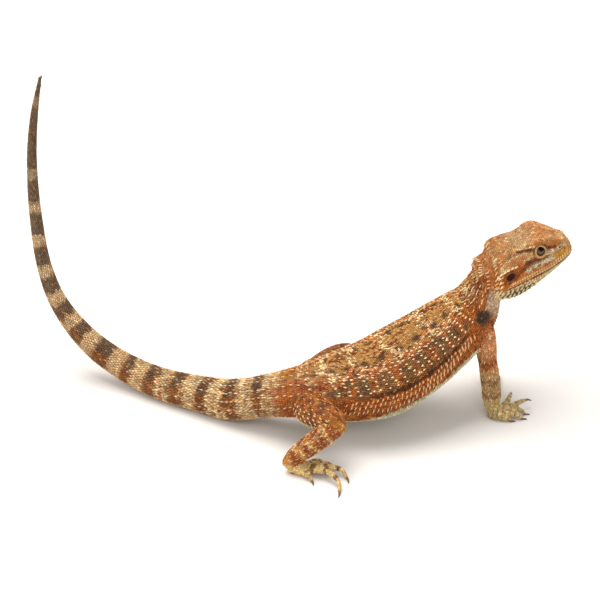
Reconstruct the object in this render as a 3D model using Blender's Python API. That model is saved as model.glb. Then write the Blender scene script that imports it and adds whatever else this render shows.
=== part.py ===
"""A young central bearded dragon, life size, standing with its forebody raised and its tail swept up.

The body runs along +X, with +Z up and the animal's left side towards +Y. Lengths are in metres.
One axis carries tail, torso and neck, the head has a frame of its own, and each limb has a path.
Every length of the body is a shaped sphere, cut where it meets its neighbour, and its spines are
cones fused to it.
"""

import math
import random

import bmesh
import bpy
import numpy as np
from mathutils import Matrix, Vector

MM = 0.001
GAP = 0.3 * MM  # kept between touching pieces

# Body axis from the tail's tip to the inside of the head, in millimetres.
# x, y, z, half width, height above the axis, depth below it
BODY_AXIS = (
    (-111.9, 61.5, 141.7, 0.9, 0.9, 0.9),
    (-115.9, 62.5, 122.5, 1.8, 1.8, 1.8),
    (-117.9, 62.5, 105.9, 2.2, 2.2, 2.2),
    (-118.5, 62.0, 89.2, 2.5, 2.5, 2.5),
    (-117.8, 61.0, 69.0, 2.9, 2.9, 2.9),
    (-115.5, 58.5, 50.4, 3.3, 3.3, 3.3),
    (-110.6, 55.0, 35.6, 3.9, 3.9, 3.9),
    (-102.4, 50.5, 23.8, 4.7, 4.6, 4.6),
    (-91.9, 44.5, 15.2, 5.5, 5.3, 5.3),
    (-78.1, 37.0, 9.2, 6.2, 5.9, 5.9),
    (-62.1, 27.5, 6.9, 7.0, 6.6, 6.7),
    (-45.3, 18.5, 7.6, 7.8, 7.4, 7.4),
    (-29.4, 10.8, 9.2, 9.2, 8.4, 8.4),
    (-14.0, 4.4, 15.0, 10.0, 9.0, 7.8),
    (-4.0, 1.4, 18.6, 12.2, 9.6, 8.6),
    (6.0, 0.6, 20.6, 15.0, 10.7, 9.6),
    (20.0, 4.0, 21.0, 19.5, 12.6, 12.9),
    (34.4, 9.0, 22.8, 22.0, 13.6, 14.2),
    (48.3, 14.5, 27.9, 22.0, 14.0, 11.6),
    (59.3, 19.0, 34.2, 19.6, 13.4, 11.6),
    (69.0, 23.0, 40.5, 16.4, 12.9, 11.4),
    (76.4, 26.0, 47.2, 12.2, 12.1, 9.1),
    (80.4, 28.2, 54.2, 9.4, 9.8, 6.3),
    (83.6, 29.6, 60.6, 8.3, 8.2, 6.6),
    (90.0, 31.8, 64.2, 6.8, 6.0, 6.0),
)
PELVIS = 15  # the row of BODY_AXIS where the body stands level
AXIS_STEPS = 900
BACK_ROUND = 2.1  # superellipse powers of the upper and the lower half of a section
BELLY_ROUND = 2.6

# Where the axis is parted, as the fraction of its length from the tail's tip.
TAIL_CUTS = (0.0, 0.135, 0.27, 0.39, 0.49, 0.60)
NECK_ROOT = 0.945
BODY_SEGMENTS = 28
NECK_SEGMENTS = 22
TAIL_SEGMENTS = 14

# Head frame: lip_tip is the front of the mouth line, back runs from it towards the neck.
LIP_TIP = Vector((118.7, 36.0, 72.2)) * MM
HEAD_YAW = math.radians(8)
HEAD_PITCH = math.radians(24.5)
# Millimetres: back from the lip, crown, brow height, brow, temple, cheek, lip and jaw half widths, chin
HEAD_ROWS = (
    (0.0, 4.3, 3.7, 0.6, 0.6, 0.7, 0.6, 0.5, 0.6),
    (0.8, 7.5, 6.6, 2.9, 3.1, 3.3, 3.2, 2.2, -0.9),
    (3.0, 9.5, 8.8, 4.7, 5.1, 5.6, 5.5, 4.2, -1.9),
    (7.0, 12.6, 12.6, 6.7, 6.6, 7.3, 7.5, 6.1, -2.9),
    (11.0, 14.4, 15.4, 9.0, 7.8, 8.9, 9.0, 7.6, -3.8),
    (14.5, 14.9, 15.8, 9.5, 8.4, 9.9, 10.0, 8.5, -4.6),
    (18.5, 14.5, 14.9, 9.4, 9.2, 10.8, 10.7, 9.3, -5.5),
    (22.0, 14.5, 15.0, 9.4, 10.1, 11.6, 11.3, 9.9, -6.4),
    (26.5, 14.9, 15.4, 9.9, 11.0, 12.3, 11.8, 10.4, -7.2),
    (31.0, 14.9, 15.2, 10.4, 11.8, 12.8, 12.0, 10.4, -7.6),
    (33.5, 14.0, 14.2, 10.0, 11.7, 12.6, 11.8, 10.0, -7.3),
    (35.5, 12.8, 12.0, 8.9, 11.0, 12.2, 11.4, 9.5, -6.7),
    (38.0, 12.3, 11.4, 7.9, 9.9, 11.0, 10.6, 8.6, -5.6),
    (40.5, 12.0, 11.3, 7.2, 8.7, 9.6, 9.2, 7.2, -4.0),
    (43.0, 10.4, 9.6, 5.6, 6.8, 7.4, 6.6, 4.9, -1.4),
)
HEAD_SEGMENTS = 34
HEAD_RINGS = 20
MOUTH_LINE = ((-4.0, 0.1), (6.0, -0.1), (14.0, 0.1), (22.0, 0.7), (31.0, 1.0), (37.0, 0.2), (46.0, -2.4))
EYE = (13.8, 6.3, 9.7)  # back, aside, up, in the head frame
EYE_RADIUS = 2.9 * MM
LID_RING = 2.2 * MM
LID_THICKNESS = 0.75 * MM
LID_STAND = 2.1 * MM
ORBIT_RADIUS = 3.4 * MM
ORBIT_STAND = 4.2 * MM
EAR = (29.6, 12.7, 5.9)
EAR_SIZE = (2.0, 1.5, 1.6)  # half length, depth, half height
NOSTRIL = (5.3, 6.1, 6.0)
NOSTRIL_RADIUS = 0.5 * MM

RIGHT, LEFT = -1, 1
SIDES = (("right", RIGHT), ("left", LEFT))

# Limb paths in millimetres: x, y, z, half width, half height
THIGH = {
    RIGHT: ((2.0, -5.0, 18.8, 5.6, 5.6), (4.0, -12.0, 20.2, 7.2, 7.0), (7.0, -18.6, 21.2, 7.2, 6.9),
            (12.0, -24.6, 22.3, 6.0, 5.8), (16.4, -28.2, 21.9, 4.6, 4.6)),
    LEFT: ((3.0, 6.0, 18.4, 5.6, 5.6), (8.8, 13.4, 21.4, 7.2, 7.0), (13.4, 20.4, 21.4, 7.2, 6.9),
           (18.2, 27.0, 21.0, 6.2, 6.0), (22.6, 31.6, 20.0, 5.0, 5.0)),
}
SHANK = {
    RIGHT: ((15.6, -27.9, 20.8, 4.4, 4.4), (11.4, -29.2, 18.0, 4.8, 4.6), (3.8, -31.0, 12.5, 4.6, 4.4),
            (-2.2, -32.0, 7.8, 3.9, 3.7), (-5.0, -32.0, 5.0, 2.8, 2.8)),
    LEFT: ((21.2, 30.8, 18.8, 4.4, 4.4), (17.4, 33.2, 16.0, 4.9, 4.7), (9.8, 36.8, 11.2, 4.6, 4.4),
           (3.6, 39.2, 7.2, 3.9, 3.7), (0.4, 40.2, 5.0, 2.8, 2.8)),
}
ARM = {
    RIGHT: ((77.4, 23.0, 43.4, 5.2, 5.2), (80.2, 17.0, 39.6, 5.0, 4.9), (81.6, 14.2, 33.8, 4.4, 4.4),
            (82.2, 13.4, 28.0, 4.0, 4.0), (83.2, 13.0, 21.6, 4.2, 4.2), (84.3, 12.8, 14.6, 4.2, 4.1),
            (84.8, 12.2, 8.0, 4.0, 3.8), (85.0, 11.6, 3.4, 2.8, 2.6)),
    LEFT: ((75.6, 31.0, 43.4, 5.2, 5.2), (78.0, 36.6, 38.6, 5.0, 4.9), (80.2, 39.9, 32.8, 4.4, 4.4),
           (81.9, 40.4, 26.4, 4.0, 4.0), (83.2, 39.2, 19.8, 4.2, 4.2), (84.6, 36.8, 13.4, 4.2, 4.1),
           (86.0, 34.0, 7.4, 4.0, 3.8), (86.4, 33.0, 3.4, 2.8, 2.6)),
}
ELBOW = 0.42  # where the arm is parted, as a share of its length
# Each foot: back and front of the sole, its half width and thickness
SOLE = {
    ("hind_foot", RIGHT): ((-4.6, -31.2, 2.8), (3.6, -33.5, 2.25)),
    ("hind_foot", LEFT): ((-0.2, 40.2, 2.8), (7.9, 43.0, 2.25)),
    ("hand", RIGHT): ((84.0, 11.2, 2.8), (92.0, 9.8, 2.25)),
    ("hand", LEFT): ((86.2, 32.4, 2.8), (86.8, 39.4, 2.25)),
}
SOLE_SIZE = {"hind_foot": (4.0, 3.0), "hand": (4.6, 3.0)}
# Five digits from the inner one out: root, two knuckles, tip and the claw's point, each in
# millimetres forward of the sole's front, inward of its middle and above the floor
SPREAD_TOES = (
    ((-1.6, 3.0, 2.3), (1.8, 5.8, 3.0), (3.3, 7.6, 2.0), (4.1, 8.6, 0.85), (6.1, 10.2, 0.2)),
    ((-0.8, 2.2, 2.4), (6.1, 3.8, 3.9), (8.5, 5.2, 2.5), (9.9, 5.8, 0.85), (12.8, 5.8, 0.2)),
    ((-0.2, 0.8, 2.5), (9.5, 1.4, 4.3), (14.5, 2.2, 2.8), (16.7, 0.4, 0.85), (18.4, -2.6, 0.2)),
    ((-0.2, -0.8, 2.5), (10.0, -3.0, 4.4), (14.9, -6.2, 2.8), (16.2, -10.0, 0.85), (16.8, -13.7, 0.2)),
    ((-1.9, -2.4, 2.2), (0.9, -4.4, 2.7), (2.2, -5.0, 1.9), (3.1, -5.8, 0.85), (4.5, -8.2, 0.2)),
)
RAISED_FINGERS = (
    ((-2.9, 3.8, 2.8), (-0.8, 6.4, 4.6), (-0.2, 8.8, 5.4), (0.2, 11.2, 5.3), (0.3, 14.0, 4.6)),
    ((-0.6, 2.8, 2.8), (3.0, 4.4, 4.8), (5.4, 6.6, 5.1), (7.2, 8.4, 4.8), (9.6, 10.2, 3.6)),
    ((0.4, 1.5, 2.6), (3.8, 2.0, 3.8), (5.8, 2.9, 2.6), (7.0, 3.5, 0.85), (9.6, 4.1, 0.2)),
    ((0.2, -0.6, 2.5), (3.2, -1.0, 3.1), (5.0, -0.8, 2.0), (6.2, -0.5, 0.85), (8.6, 0.0, 0.2)),
    ((-3.4, -1.8, 2.4), (-1.6, -3.0, 2.6), (0.0, -3.3, 1.9), (1.3, -3.2, 0.85), (3.7, -2.8, 0.2)),
)
CLOSE_FINGERS = (
    ((-3.0, 2.0, 2.4), (-0.6, 3.0, 3.2), (1.0, 3.5, 2.2), (2.2, 3.8, 0.85), (4.6, 4.2, 0.2)),
    ((-0.8, 1.6, 2.6), (2.6, 2.3, 4.0), (4.8, 2.7, 2.8), (6.3, 2.9, 0.85), (9.0, 3.1, 0.2)),
    ((0.4, 0.3, 2.6), (3.6, 0.4, 4.2), (6.2, 0.4, 3.0), (7.9, 0.4, 0.85), (10.8, 0.3, 0.2)),
    ((0.0, -1.1, 2.6), (3.2, -1.7, 4.0), (5.4, -2.1, 2.8), (6.9, -2.4, 0.85), (9.6, -2.8, 0.2)),
    ((-2.6, -1.9, 2.3), (-0.4, -2.9, 2.8), (1.0, -3.5, 1.9), (2.0, -3.9, 0.85), (4.3, -4.5, 0.2)),
)
DIGITS = {
    ("hind_foot", RIGHT): SPREAD_TOES,
    ("hind_foot", LEFT): SPREAD_TOES,
    ("hand", RIGHT): RAISED_FINGERS,
    ("hand", LEFT): CLOSE_FINGERS,
}
DIGIT_SIZE = (1.45, 1.15, 0.90, 0.76)  # half thickness at the root, the knuckles and the tip
CLAW_SIZE = (0.62, 0.52, 0.34, 0.14)

SPINE_CLEARANCE = 2.6 * MM  # from the root of a long spine to a limb
SPINE_GAP = 0.6 * MM  # from a spine's tip to the next length of the body
# Share of a turn from the crown, back from the lip, length in millimetres
CROWN_SPINES = (
    (0.050, 32.8, 1.3), (0.082, 33.0, 1.7), (0.112, 33.2, 2.3), (0.142, 33.8, 1.7), (0.172, 34.6, 1.9),
    (0.200, 35.6, 2.1), (0.228, 36.6, 2.3), (0.254, 37.4, 2.6), (0.280, 37.6, 2.6), (0.190, 32.6, 1.5),
    (0.238, 34.0, 1.8), (0.266, 34.8, 2.1), (0.290, 34.6, 2.0), (0.298, 30.6, 1.5),
    (0.030, 40.6, 2.0), (0.072, 40.8, 2.6), (0.114, 40.4, 2.2),
)
# Share of a turn, first and last station back from the lip, count and length in millimetres
BEARD_ROWS = (
    (0.333, 19.0, 38.0, 10, 1.7),
    (0.368, 17.5, 37.0, 10, 1.9),
    (0.405, 20.0, 36.0, 8, 1.7),
)
# Share of the thigh's length, turn round it and length in millimetres
THIGH_SPINES = (
    (0.42, 0.30, 1.6), (0.56, 0.31, 1.9), (0.70, 0.32, 1.8), (0.49, 0.38, 1.5), (0.63, 0.39, 1.7), (0.77, 0.39, 1.5),
)

SKIN_COLOUR = (0.62, 0.27, 0.08, 1.0)
THROAT_COLOUR = (0.66, 0.42, 0.22, 1.0)
TAIL_COLOUR = (0.48, 0.29, 0.13, 1.0)
EYE_COLOUR = (0.05, 0.03, 0.02, 1.0)
CLAW_COLOUR = (0.09, 0.06, 0.04, 1.0)


def clear_scene():
    """Empties the file of the startup objects."""
    for item in list(bpy.data.objects):
        bpy.data.objects.remove(item)


def make_material(name, colour, roughness):
    """A Principled material with one colour."""
    material = bpy.data.materials.new(name)
    material.use_nodes = True
    shader = material.node_tree.nodes["Principled BSDF"]
    shader.inputs["Base Color"].default_value = colour
    shader.inputs["Roughness"].default_value = roughness
    return material


def smooth(knots, values, at):
    """A cubic curve through values at knots, read at the points in at."""
    knots, values, at = (np.asarray(part, float) for part in (knots, values, at))
    slopes = np.gradient(values, knots, axis=0)
    index = np.clip(np.searchsorted(knots, at) - 1, 0, len(knots) - 2)
    width = knots[index + 1] - knots[index]
    part = (at - knots[index]) / width
    if values.ndim > 1:
        width, part = width[:, None], part[:, None]
    square, cube = part**2, part**3
    return (
        values[index] * (2 * cube - 3 * square + 1)
        + slopes[index] * (cube - 2 * square + part) * width
        + values[index + 1] * (3 * square - 2 * cube)
        + slopes[index + 1] * (cube - square) * width
    )


class Path:
    """A smooth centreline with a size at each point and a frame that turns with it as little as it can.

    With level_ahead, the frame doesn't roll at all beyond the row that it starts from.
    """

    def __init__(self, rows, level_row=0, steps=160, level_ahead=False):
        table = np.array(rows, float) * MM
        knots = np.concatenate([[0.0], np.cumsum(np.linalg.norm(np.diff(table[:, :3], axis=0), axis=1))])
        self.rows = knots / knots[-1]
        self.at = np.linspace(0.0, 1.0, steps)
        self.table = smooth(self.rows, table, self.at)
        self.length = knots[-1]
        centre = self.table[:, :3]
        along = np.gradient(centre, axis=0)
        self.along = along / np.linalg.norm(along, axis=1)[:, None]
        self.up = np.zeros_like(centre)
        start = int(round(self.rows[level_row] * (steps - 1)))
        self.up[start] = self.square_to(np.array([0.0, 0.0, 1.0]), start)
        for index in range(start + 1, steps):
            before = np.array([0.0, 0.0, 1.0]) if level_ahead else self.up[index - 1]
            self.up[index] = self.square_to(before, index)
        for index in range(start - 1, -1, -1):
            self.up[index] = self.square_to(self.up[index + 1], index)

    def square_to(self, vector, index):
        """The vector made square to the path at one step."""
        vector = vector - self.along[index] * (vector @ self.along[index])
        return vector / np.linalg.norm(vector)

    def read(self, fraction):
        """Centre, direction, up, left and the sizes at a fraction of the length."""
        row = np.array([np.interp(fraction, self.at, column) for column in self.table.T])
        along = np.array([np.interp(fraction, self.at, column) for column in self.along.T])
        up = np.array([np.interp(fraction, self.at, column) for column in self.up.T])
        along /= np.linalg.norm(along)
        up -= along * (up @ along)
        up /= np.linalg.norm(up)
        return row[:3], along, up, np.cross(up, along), row[3:]


BODY = Path(BODY_AXIS, PELVIS, AXIS_STEPS, level_ahead=True)


def body_point(fraction, angle, grow=0.0):
    """A point on the tail, torso or neck. The angle starts at the back's middle and turns to the left."""
    centre, _, up, left, (wide, above, below) = BODY.read(fraction)
    power = BACK_ROUND if math.cos(angle) >= 0 else BELLY_ROUND
    tall = above if math.cos(angle) >= 0 else below
    aside = math.copysign(abs(math.sin(angle)) ** (2 / power), math.sin(angle)) * (wide + grow)
    rise = math.copysign(abs(math.cos(angle)) ** (2 / power), math.cos(angle)) * (tall + grow)
    return Vector(centre + left * aside + up * rise)


def head_axes():
    """Forward, left and up of the head."""
    turn = Matrix.Rotation(HEAD_YAW, 3, "Z") @ Matrix.Rotation(-HEAD_PITCH, 3, "Y")
    return turn @ Vector((1, 0, 0)), turn @ Vector((0, 1, 0)), turn @ Vector((0, 0, 1))


FORWARD, HEAD_LEFT, HEAD_UP = head_axes()


def head_place(back, aside, up):
    """A point given in millimetres back from the lip tip, to the left and up."""
    return LIP_TIP + (-FORWARD * back + HEAD_LEFT * aside + HEAD_UP * up) * MM


def head_section(back):
    """The left half of the head's outline at one station, from crown to chin, as (aside, up) pairs."""
    rows = np.array(HEAD_ROWS)
    values = smooth(rows[:, 0], rows[:, 1:], np.array([back]))[0]
    crown, brow_up, brow, temple, cheek, lip, jaw, chin = values
    return (
        (0.0, crown),
        (0.55 * brow, 0.45 * crown + 0.55 * brow_up),
        (brow, brow_up),
        (temple, 0.70 * brow_up),
        (cheek, 0.38 * brow_up),
        (lip, 0.08 * brow_up),
        (0.97 * lip, 0.08 * chin),
        (jaw, 0.58 * chin),
        (0.56 * jaw, 0.94 * chin),
        (0.0, chin),
    )


def head_point(back, turn, grow=0.0):
    """A point on the head. turn is 0 at the crown, 0.5 at the chin, and passes the left side first."""
    half = head_section(back)
    loop = np.array(list(half) + [(-aside, up) for aside, up in half[-2:0:-1]])
    count = len(loop)
    place = (turn % 1.0) * count
    first = int(place) % count
    part = place - int(place)
    before, one, two, after = (loop[(first + step) % count] for step in (-1, 0, 1, 2))
    aside, up = 0.5 * (
        2 * one
        + (two - before) * part
        + (2 * before - 5 * one + 4 * two - after) * part**2
        + (3 * one - before - 3 * two + after) * part**3
    )
    point = head_place(back, aside, up)
    if grow:
        middle = head_place(back, 0.0, 4.0)
        point += (point - middle).normalized() * grow
    return point


def shaped_sphere(name, segments, rings, place):
    """A sphere whose rings are moved by place(share of length, share of turn), ends included."""
    mesh = bpy.data.meshes.new(name)
    form = bmesh.new()
    bmesh.ops.create_uvsphere(form, u_segments=segments, v_segments=rings, radius=1.0)
    for vertex in form.verts:
        share = math.acos(max(-1.0, min(1.0, -vertex.co.z))) / math.pi
        turn = math.atan2(vertex.co.y, vertex.co.x) / (2 * math.pi) % 1.0
        vertex.co = place(share, turn)
    if form.calc_volume(signed=True) < 0:
        bmesh.ops.reverse_faces(form, faces=form.faces)
    form.to_mesh(mesh)
    form.free()
    piece = bpy.data.objects.new(name, mesh)
    bpy.context.scene.collection.objects.link(piece)
    return piece


def flat_ended(share, rings, start, end, closed_start, closed_end):
    """Turns a share of the sphere into a fraction of a path and a size, so that an end is flat or round."""
    step = 1.0 / rings
    if share < step * 0.5:
        return start, 0.0
    if share > 1 - step * 0.5:
        return end, 0.0
    inner = (share - step) / (1 - 2 * step)
    fraction = start + (end - start) * inner
    size = 1.0
    if closed_start and inner < 0.5 * step:
        size = 0.62
    if closed_end and inner > 1 - 0.5 * step:
        size = 0.62
    return fraction, size


def body_length(name, start, end, segments, rings, closed_start=False, grow=0.0):
    """One length of the tail, torso or neck with a flat face at each end that meets another."""

    def place(share, turn):
        fraction, size = flat_ended(share, rings, start, end, closed_start, False)
        if size == 0.0:
            return Vector(BODY.read(fraction)[0])
        middle = Vector(BODY.read(fraction)[0])
        point = body_point(fraction, 2 * math.pi * turn, grow)
        return middle + (point - middle) * size

    return shaped_sphere(name, segments, rings, place)


def tube(name, rows, segments, rings, round_ends=(True, True), grow=0.0, span=(0.0, 1.0)):
    """A limb or digit: an elliptical tube along its rows of x, y, z, half width and half height."""
    path = Path(rows)

    def place(share, turn):
        fraction, size = flat_ended(share, rings, *span, *round_ends)
        centre, along, up, left, (wide, tall) = path.read(fraction)
        if size == 0.0:
            reach = 0.55 * wide + grow if round_ends[0 if share < 0.5 else 1] else 0.0
            return Vector(centre + along * reach * (-1 if share < 0.5 else 1))
        angle = 2 * math.pi * turn
        return Vector(
            centre + (left * math.sin(angle) * (wide + grow) + up * math.cos(angle) * (tall + grow)) * size
        )

    return shaped_sphere(name, segments, rings, place)


def head_form(name, grow=0.0, last=HEAD_ROWS[-1][0]):
    """The whole head with its jaws closed."""

    def place(share, turn):
        fraction, size = flat_ended(share, HEAD_RINGS, 0.0, 1.0, False, False)
        back = last * max(0.0, fraction) ** 1.35
        if size == 0.0:
            return head_place(back + (grow / MM if back else -grow / MM), 0.0, 1.4 if back == 0 else 4.0)
        point = head_point(back, turn, grow)
        if grow:
            point += -FORWARD * grow * (2 * fraction - 1)
        return point

    return shaped_sphere(name, HEAD_SEGMENTS, HEAD_RINGS, place)


def cone(name, root, direction, base, length, sides=4, sink=1.0 * MM):
    """A spine: a cone whose root is sunk in the surface that it grows from."""
    mesh = bpy.data.meshes.new(name)
    form = bmesh.new()
    bmesh.ops.create_cone(
        form, cap_ends=True, segments=sides, radius1=base * (1 + sink / length), radius2=0.0,
        depth=length + sink,
    )
    form.to_mesh(mesh)
    form.free()
    spine = bpy.data.objects.new(name, mesh)
    direction = direction.normalized()
    spine.matrix_world = Matrix.Translation(root + direction * (length - sink) / 2) @ (
        direction.to_track_quat("Z", "Y").to_matrix().to_4x4()
    )
    bpy.context.scene.collection.objects.link(spine)
    return spine


def ball(name, centre, radius, stretch=(1, 1, 1), axes=None, segments=16):
    """A sphere or an ellipsoid along the given axes."""
    mesh = bpy.data.meshes.new(name)
    form = bmesh.new()
    bmesh.ops.create_uvsphere(form, u_segments=segments, v_segments=segments // 2 + 1, radius=radius)
    form.to_mesh(mesh)
    form.free()
    piece = bpy.data.objects.new(name, mesh)
    turn = Matrix.Identity(3)
    if axes:
        turn = Matrix(axes).transposed()
    piece.matrix_world = Matrix.Translation(centre) @ turn.to_4x4() @ Matrix.Diagonal((*stretch, 1))
    bpy.context.scene.collection.objects.link(piece)
    return piece


def combine(node, pieces, operation, solver="MANIFOLD"):
    """Joins pieces to a node or cuts them from it, in one Boolean, and removes them."""
    if not pieces:
        return
    group = bpy.data.collections.new(f"{node.name}_{operation.lower()}")
    bpy.context.scene.collection.children.link(group)
    for piece in pieces:
        for home in list(piece.users_collection):
            home.objects.unlink(piece)
        group.objects.link(piece)
    change = node.modifiers.new(operation.title(), "BOOLEAN")
    change.operation = operation
    change.operand_type = "COLLECTION"
    change.collection = group
    change.solver = solver
    bpy.context.view_layer.update()
    bpy.context.view_layer.objects.active = node
    bpy.ops.object.modifier_apply(modifier=change.name)
    for piece in pieces:
        bpy.data.objects.remove(piece)
    bpy.data.collections.remove(group)


def keep_largest(node):
    """Keeps the node's largest closed surface only."""
    form = bmesh.new()
    form.from_mesh(node.data)
    left = set(form.verts)
    groups = []
    while left:
        stack = [left.pop()]
        group = list(stack)
        while stack:
            for edge in stack.pop().link_edges:
                for vertex in edge.verts:
                    if vertex in left:
                        left.remove(vertex)
                        stack.append(vertex)
                        group.append(vertex)
        groups.append(group)
    groups.sort(key=lambda group: math.prod(
        max(v.co[axis] for v in group) - min(v.co[axis] for v in group) for axis in range(3)
    ))
    bmesh.ops.delete(form, geom=[v for group in groups[:-1] for v in group], context="VERTS")
    form.to_mesh(node.data)
    form.free()


def below_floor():
    """A slab that trims whatever touches the ground to a small flat."""
    mesh = bpy.data.meshes.new("ground")
    form = bmesh.new()
    bmesh.ops.create_cube(form, size=1.0)
    form.to_mesh(mesh)
    form.free()
    slab = bpy.data.objects.new("ground", mesh)
    slab.scale = (0.6, 0.6, 0.02)
    slab.location = (0, 0, -0.01)
    bpy.context.scene.collection.objects.link(slab)
    return slab


def mouth_block(name, side):
    """A block that holds all below (side -1) or above (side 1) the mouth line, less half the gap."""
    reach = 40.0
    outline = [(back, up - side * 0.5 * GAP / MM) for back, up in MOUTH_LINE]
    outline += [(MOUTH_LINE[-1][0] + 8, side * reach), (MOUTH_LINE[0][0] - 8, side * reach)]
    mesh = bpy.data.meshes.new(name)
    form = bmesh.new()
    rim = [form.verts.new(head_place(back, -reach, up)) for back, up in outline]
    face = form.faces.new(rim)
    grown = bmesh.ops.extrude_face_region(form, geom=[face])
    moved = [item for item in grown["geom"] if isinstance(item, bmesh.types.BMVert)]
    bmesh.ops.translate(form, verts=moved, vec=HEAD_LEFT * 2 * reach * MM)
    bmesh.ops.recalc_face_normals(form, faces=form.faces)
    form.to_mesh(mesh)
    form.free()
    block = bpy.data.objects.new(name, mesh)
    bpy.context.scene.collection.objects.link(block)
    return block


def body_spine(fraction, angle, length, base, lean, out=0.0):
    """A spine on the tail, torso or neck, leaning back by lean."""
    here = body_point(fraction, angle)
    centre, along, up, left, _ = BODY.read(fraction)
    across = body_point(fraction, angle + 0.05) - body_point(fraction, angle - 0.05)
    normal = Vector(np.cross(np.array(across), along)).normalized()
    if normal.dot(here - Vector(centre)) < 0:
        normal.negate()
    direction = normal * math.cos(lean) - Vector(along) * math.sin(lean) + Vector(left) * out
    return cone("spine", here, direction, base * MM, length * MM)


def head_spine(back, turn, length, base, lean, drop=0.0):
    """A spine on the head or jaw, leaning back by lean and down by drop."""
    here = head_point(back, turn)
    across = head_point(back, turn + 0.01) - head_point(back, turn - 0.01)
    ahead = head_point(back + 0.4, turn) - head_point(back - 0.4, turn)
    normal = across.cross(ahead).normalized()
    if normal.dot(here - head_place(back, 0, 4.0)) < 0:
        normal.negate()
    direction = normal * math.cos(lean) - FORWARD * math.sin(lean) - HEAD_UP * drop
    return cone("spine", here, direction, base * MM, length * MM)


def build_tail(material):
    """Five lengths of the tail, thin end first in the axis and numbered from the body."""
    gap = GAP / BODY.length / 2
    count = len(TAIL_CUTS) - 1
    nodes = []
    for index in range(count):
        start, end = TAIL_CUTS[index], TAIL_CUTS[index + 1]
        name = f"tail_{count - index}"
        rings = (14, 12, 12, 10, 11)[index]
        node = body_length(
            name, start + (gap if index else 0.0), end - gap, TAIL_SEGMENTS + (4 if index > 2 else 0), rings,
            closed_start=index == 0,
        )
        combine(node, [below_floor()], "DIFFERENCE")
        node.data.materials.append(material)
        nodes.append(node)
    return nodes


def torso_form(name, grow=0.0):
    """Chest, belly and hips in one piece."""
    gap = GAP / BODY.length / 2
    return body_length(name, TAIL_CUTS[-1] + gap, NECK_ROOT - gap, BODY_SEGMENTS, 26, grow=grow)


def neck_form(name, grow=0.0):
    """The neck, which runs on into the head."""
    gap = GAP / BODY.length / 2
    return body_length(name, NECK_ROOT + gap - grow / BODY.length, 1.0, NECK_SEGMENTS, 8, grow=grow)


def build_head(material, throat, eye_material):
    """Head and jaw, both still whole across the mouth line, and the eyes."""
    head = head_form("head")
    cuts = []
    lids = []
    eyes = []
    for name, side in SIDES:
        back, aside, up = EYE
        centre = head_place(back, side * aside, up)
        outward = (HEAD_LEFT * side * 1.0 + FORWARD * 0.20 + HEAD_UP * 0.06).normalized()
        cuts.append(ball("orbit", centre + outward * ORBIT_STAND, ORBIT_RADIUS))
        eyes.append(ball(f"eye_{name}", centre, EYE_RADIUS, segments=14))
        lids.append(lid_ring(centre + outward * LID_STAND, outward))
        ear = head_place(EAR[0], side * EAR[1], EAR[2])
        along = (FORWARD * 0.9 + HEAD_UP * 0.45).normalized()
        axes = (along, HEAD_LEFT, along.cross(HEAD_LEFT))
        cuts.append(ball("ear", ear, MM, EAR_SIZE, axes, 12))
        cuts.append(ball("nostril", head_place(NOSTRIL[0], side * NOSTRIL[1], NOSTRIL[2]), NOSTRIL_RADIUS, segments=8))
    combine(head, cuts, "DIFFERENCE")
    combine(head, lids, "UNION")
    combine(head, [ball("socket", eye.matrix_world.translation, EYE_RADIUS + GAP) for eye in eyes], "DIFFERENCE")
    head.data.materials.append(material)
    for eye in eyes:
        eye.data.materials.append(eye_material)
    jaw = head_form("lower_jaw")
    jaw.data.materials.append(throat)
    return head, jaw, eyes


def stands_clear(spine, table):
    """Whether a spine keeps off another length of the body, given by its rows, from middle to tip."""
    tip = spine.matrix_world @ max((vertex.co for vertex in spine.data.vertices), key=lambda co: co.z)
    middle = spine.matrix_world.translation
    for point in (tip, middle):
        reach = np.linalg.norm(table[:, :3] - np.array(point), axis=1) - table[:, 3]
        if reach.min() < SPINE_GAP:
            return False
    return True


def clear_spines(spines, table):
    """The spines that keep off another length of the body. The others are removed."""
    kept = []
    for spine in spines:
        if stands_clear(spine, table):
            kept.append(spine)
        else:
            bpy.data.objects.remove(spine)
    return kept


def lid_ring(centre, outward):
    """The ring of the two lids round an eye."""
    bpy.ops.mesh.primitive_torus_add(
        location=centre, rotation=outward.to_track_quat("Z", "Y").to_euler(), major_segments=16, minor_segments=6,
        major_radius=LID_RING, minor_radius=LID_THICKNESS,
    )
    ring = bpy.context.object
    ring.name = "lid"
    return ring


def thigh_spine(side, fraction, turn, length):
    """A spine on the back of the thigh, leaning towards the knee."""
    path = Path(THIGH[side])
    centre, along, up, left, (wide, tall) = path.read(fraction)
    angle = 2 * math.pi * turn * side
    out = left * math.sin(angle) * wide + up * math.cos(angle) * tall
    direction = Vector(out).normalized() + Vector(along) * 0.7
    return cone("spine", Vector(centre + out), direction, 0.55 * MM, length * MM)


def build_leg(name, side, material):
    """Thigh and shank. The thigh is cut to the torso, the shank to the thigh and the foot."""
    thigh = tube(f"thigh_{name}", THIGH[side], 14, 10)
    combine(thigh, [torso_form("torso_space", GAP)], "DIFFERENCE")
    spines = [thigh_spine(side, *spine) for spine in THIGH_SPINES]
    combine(thigh, clear_spines(spines, Path(SHANK[side]).table), "UNION")
    shank = tube(f"shank_{name}", SHANK[side], 12, 10)
    knee = tube("knee_space", THIGH[side], 14, 10, grow=GAP)
    combine(shank, [knee, *foot_form("hind_foot", side, GAP)], "DIFFERENCE")
    for node in (thigh, shank):
        keep_largest(node)
        node.data.materials.append(material)


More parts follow.
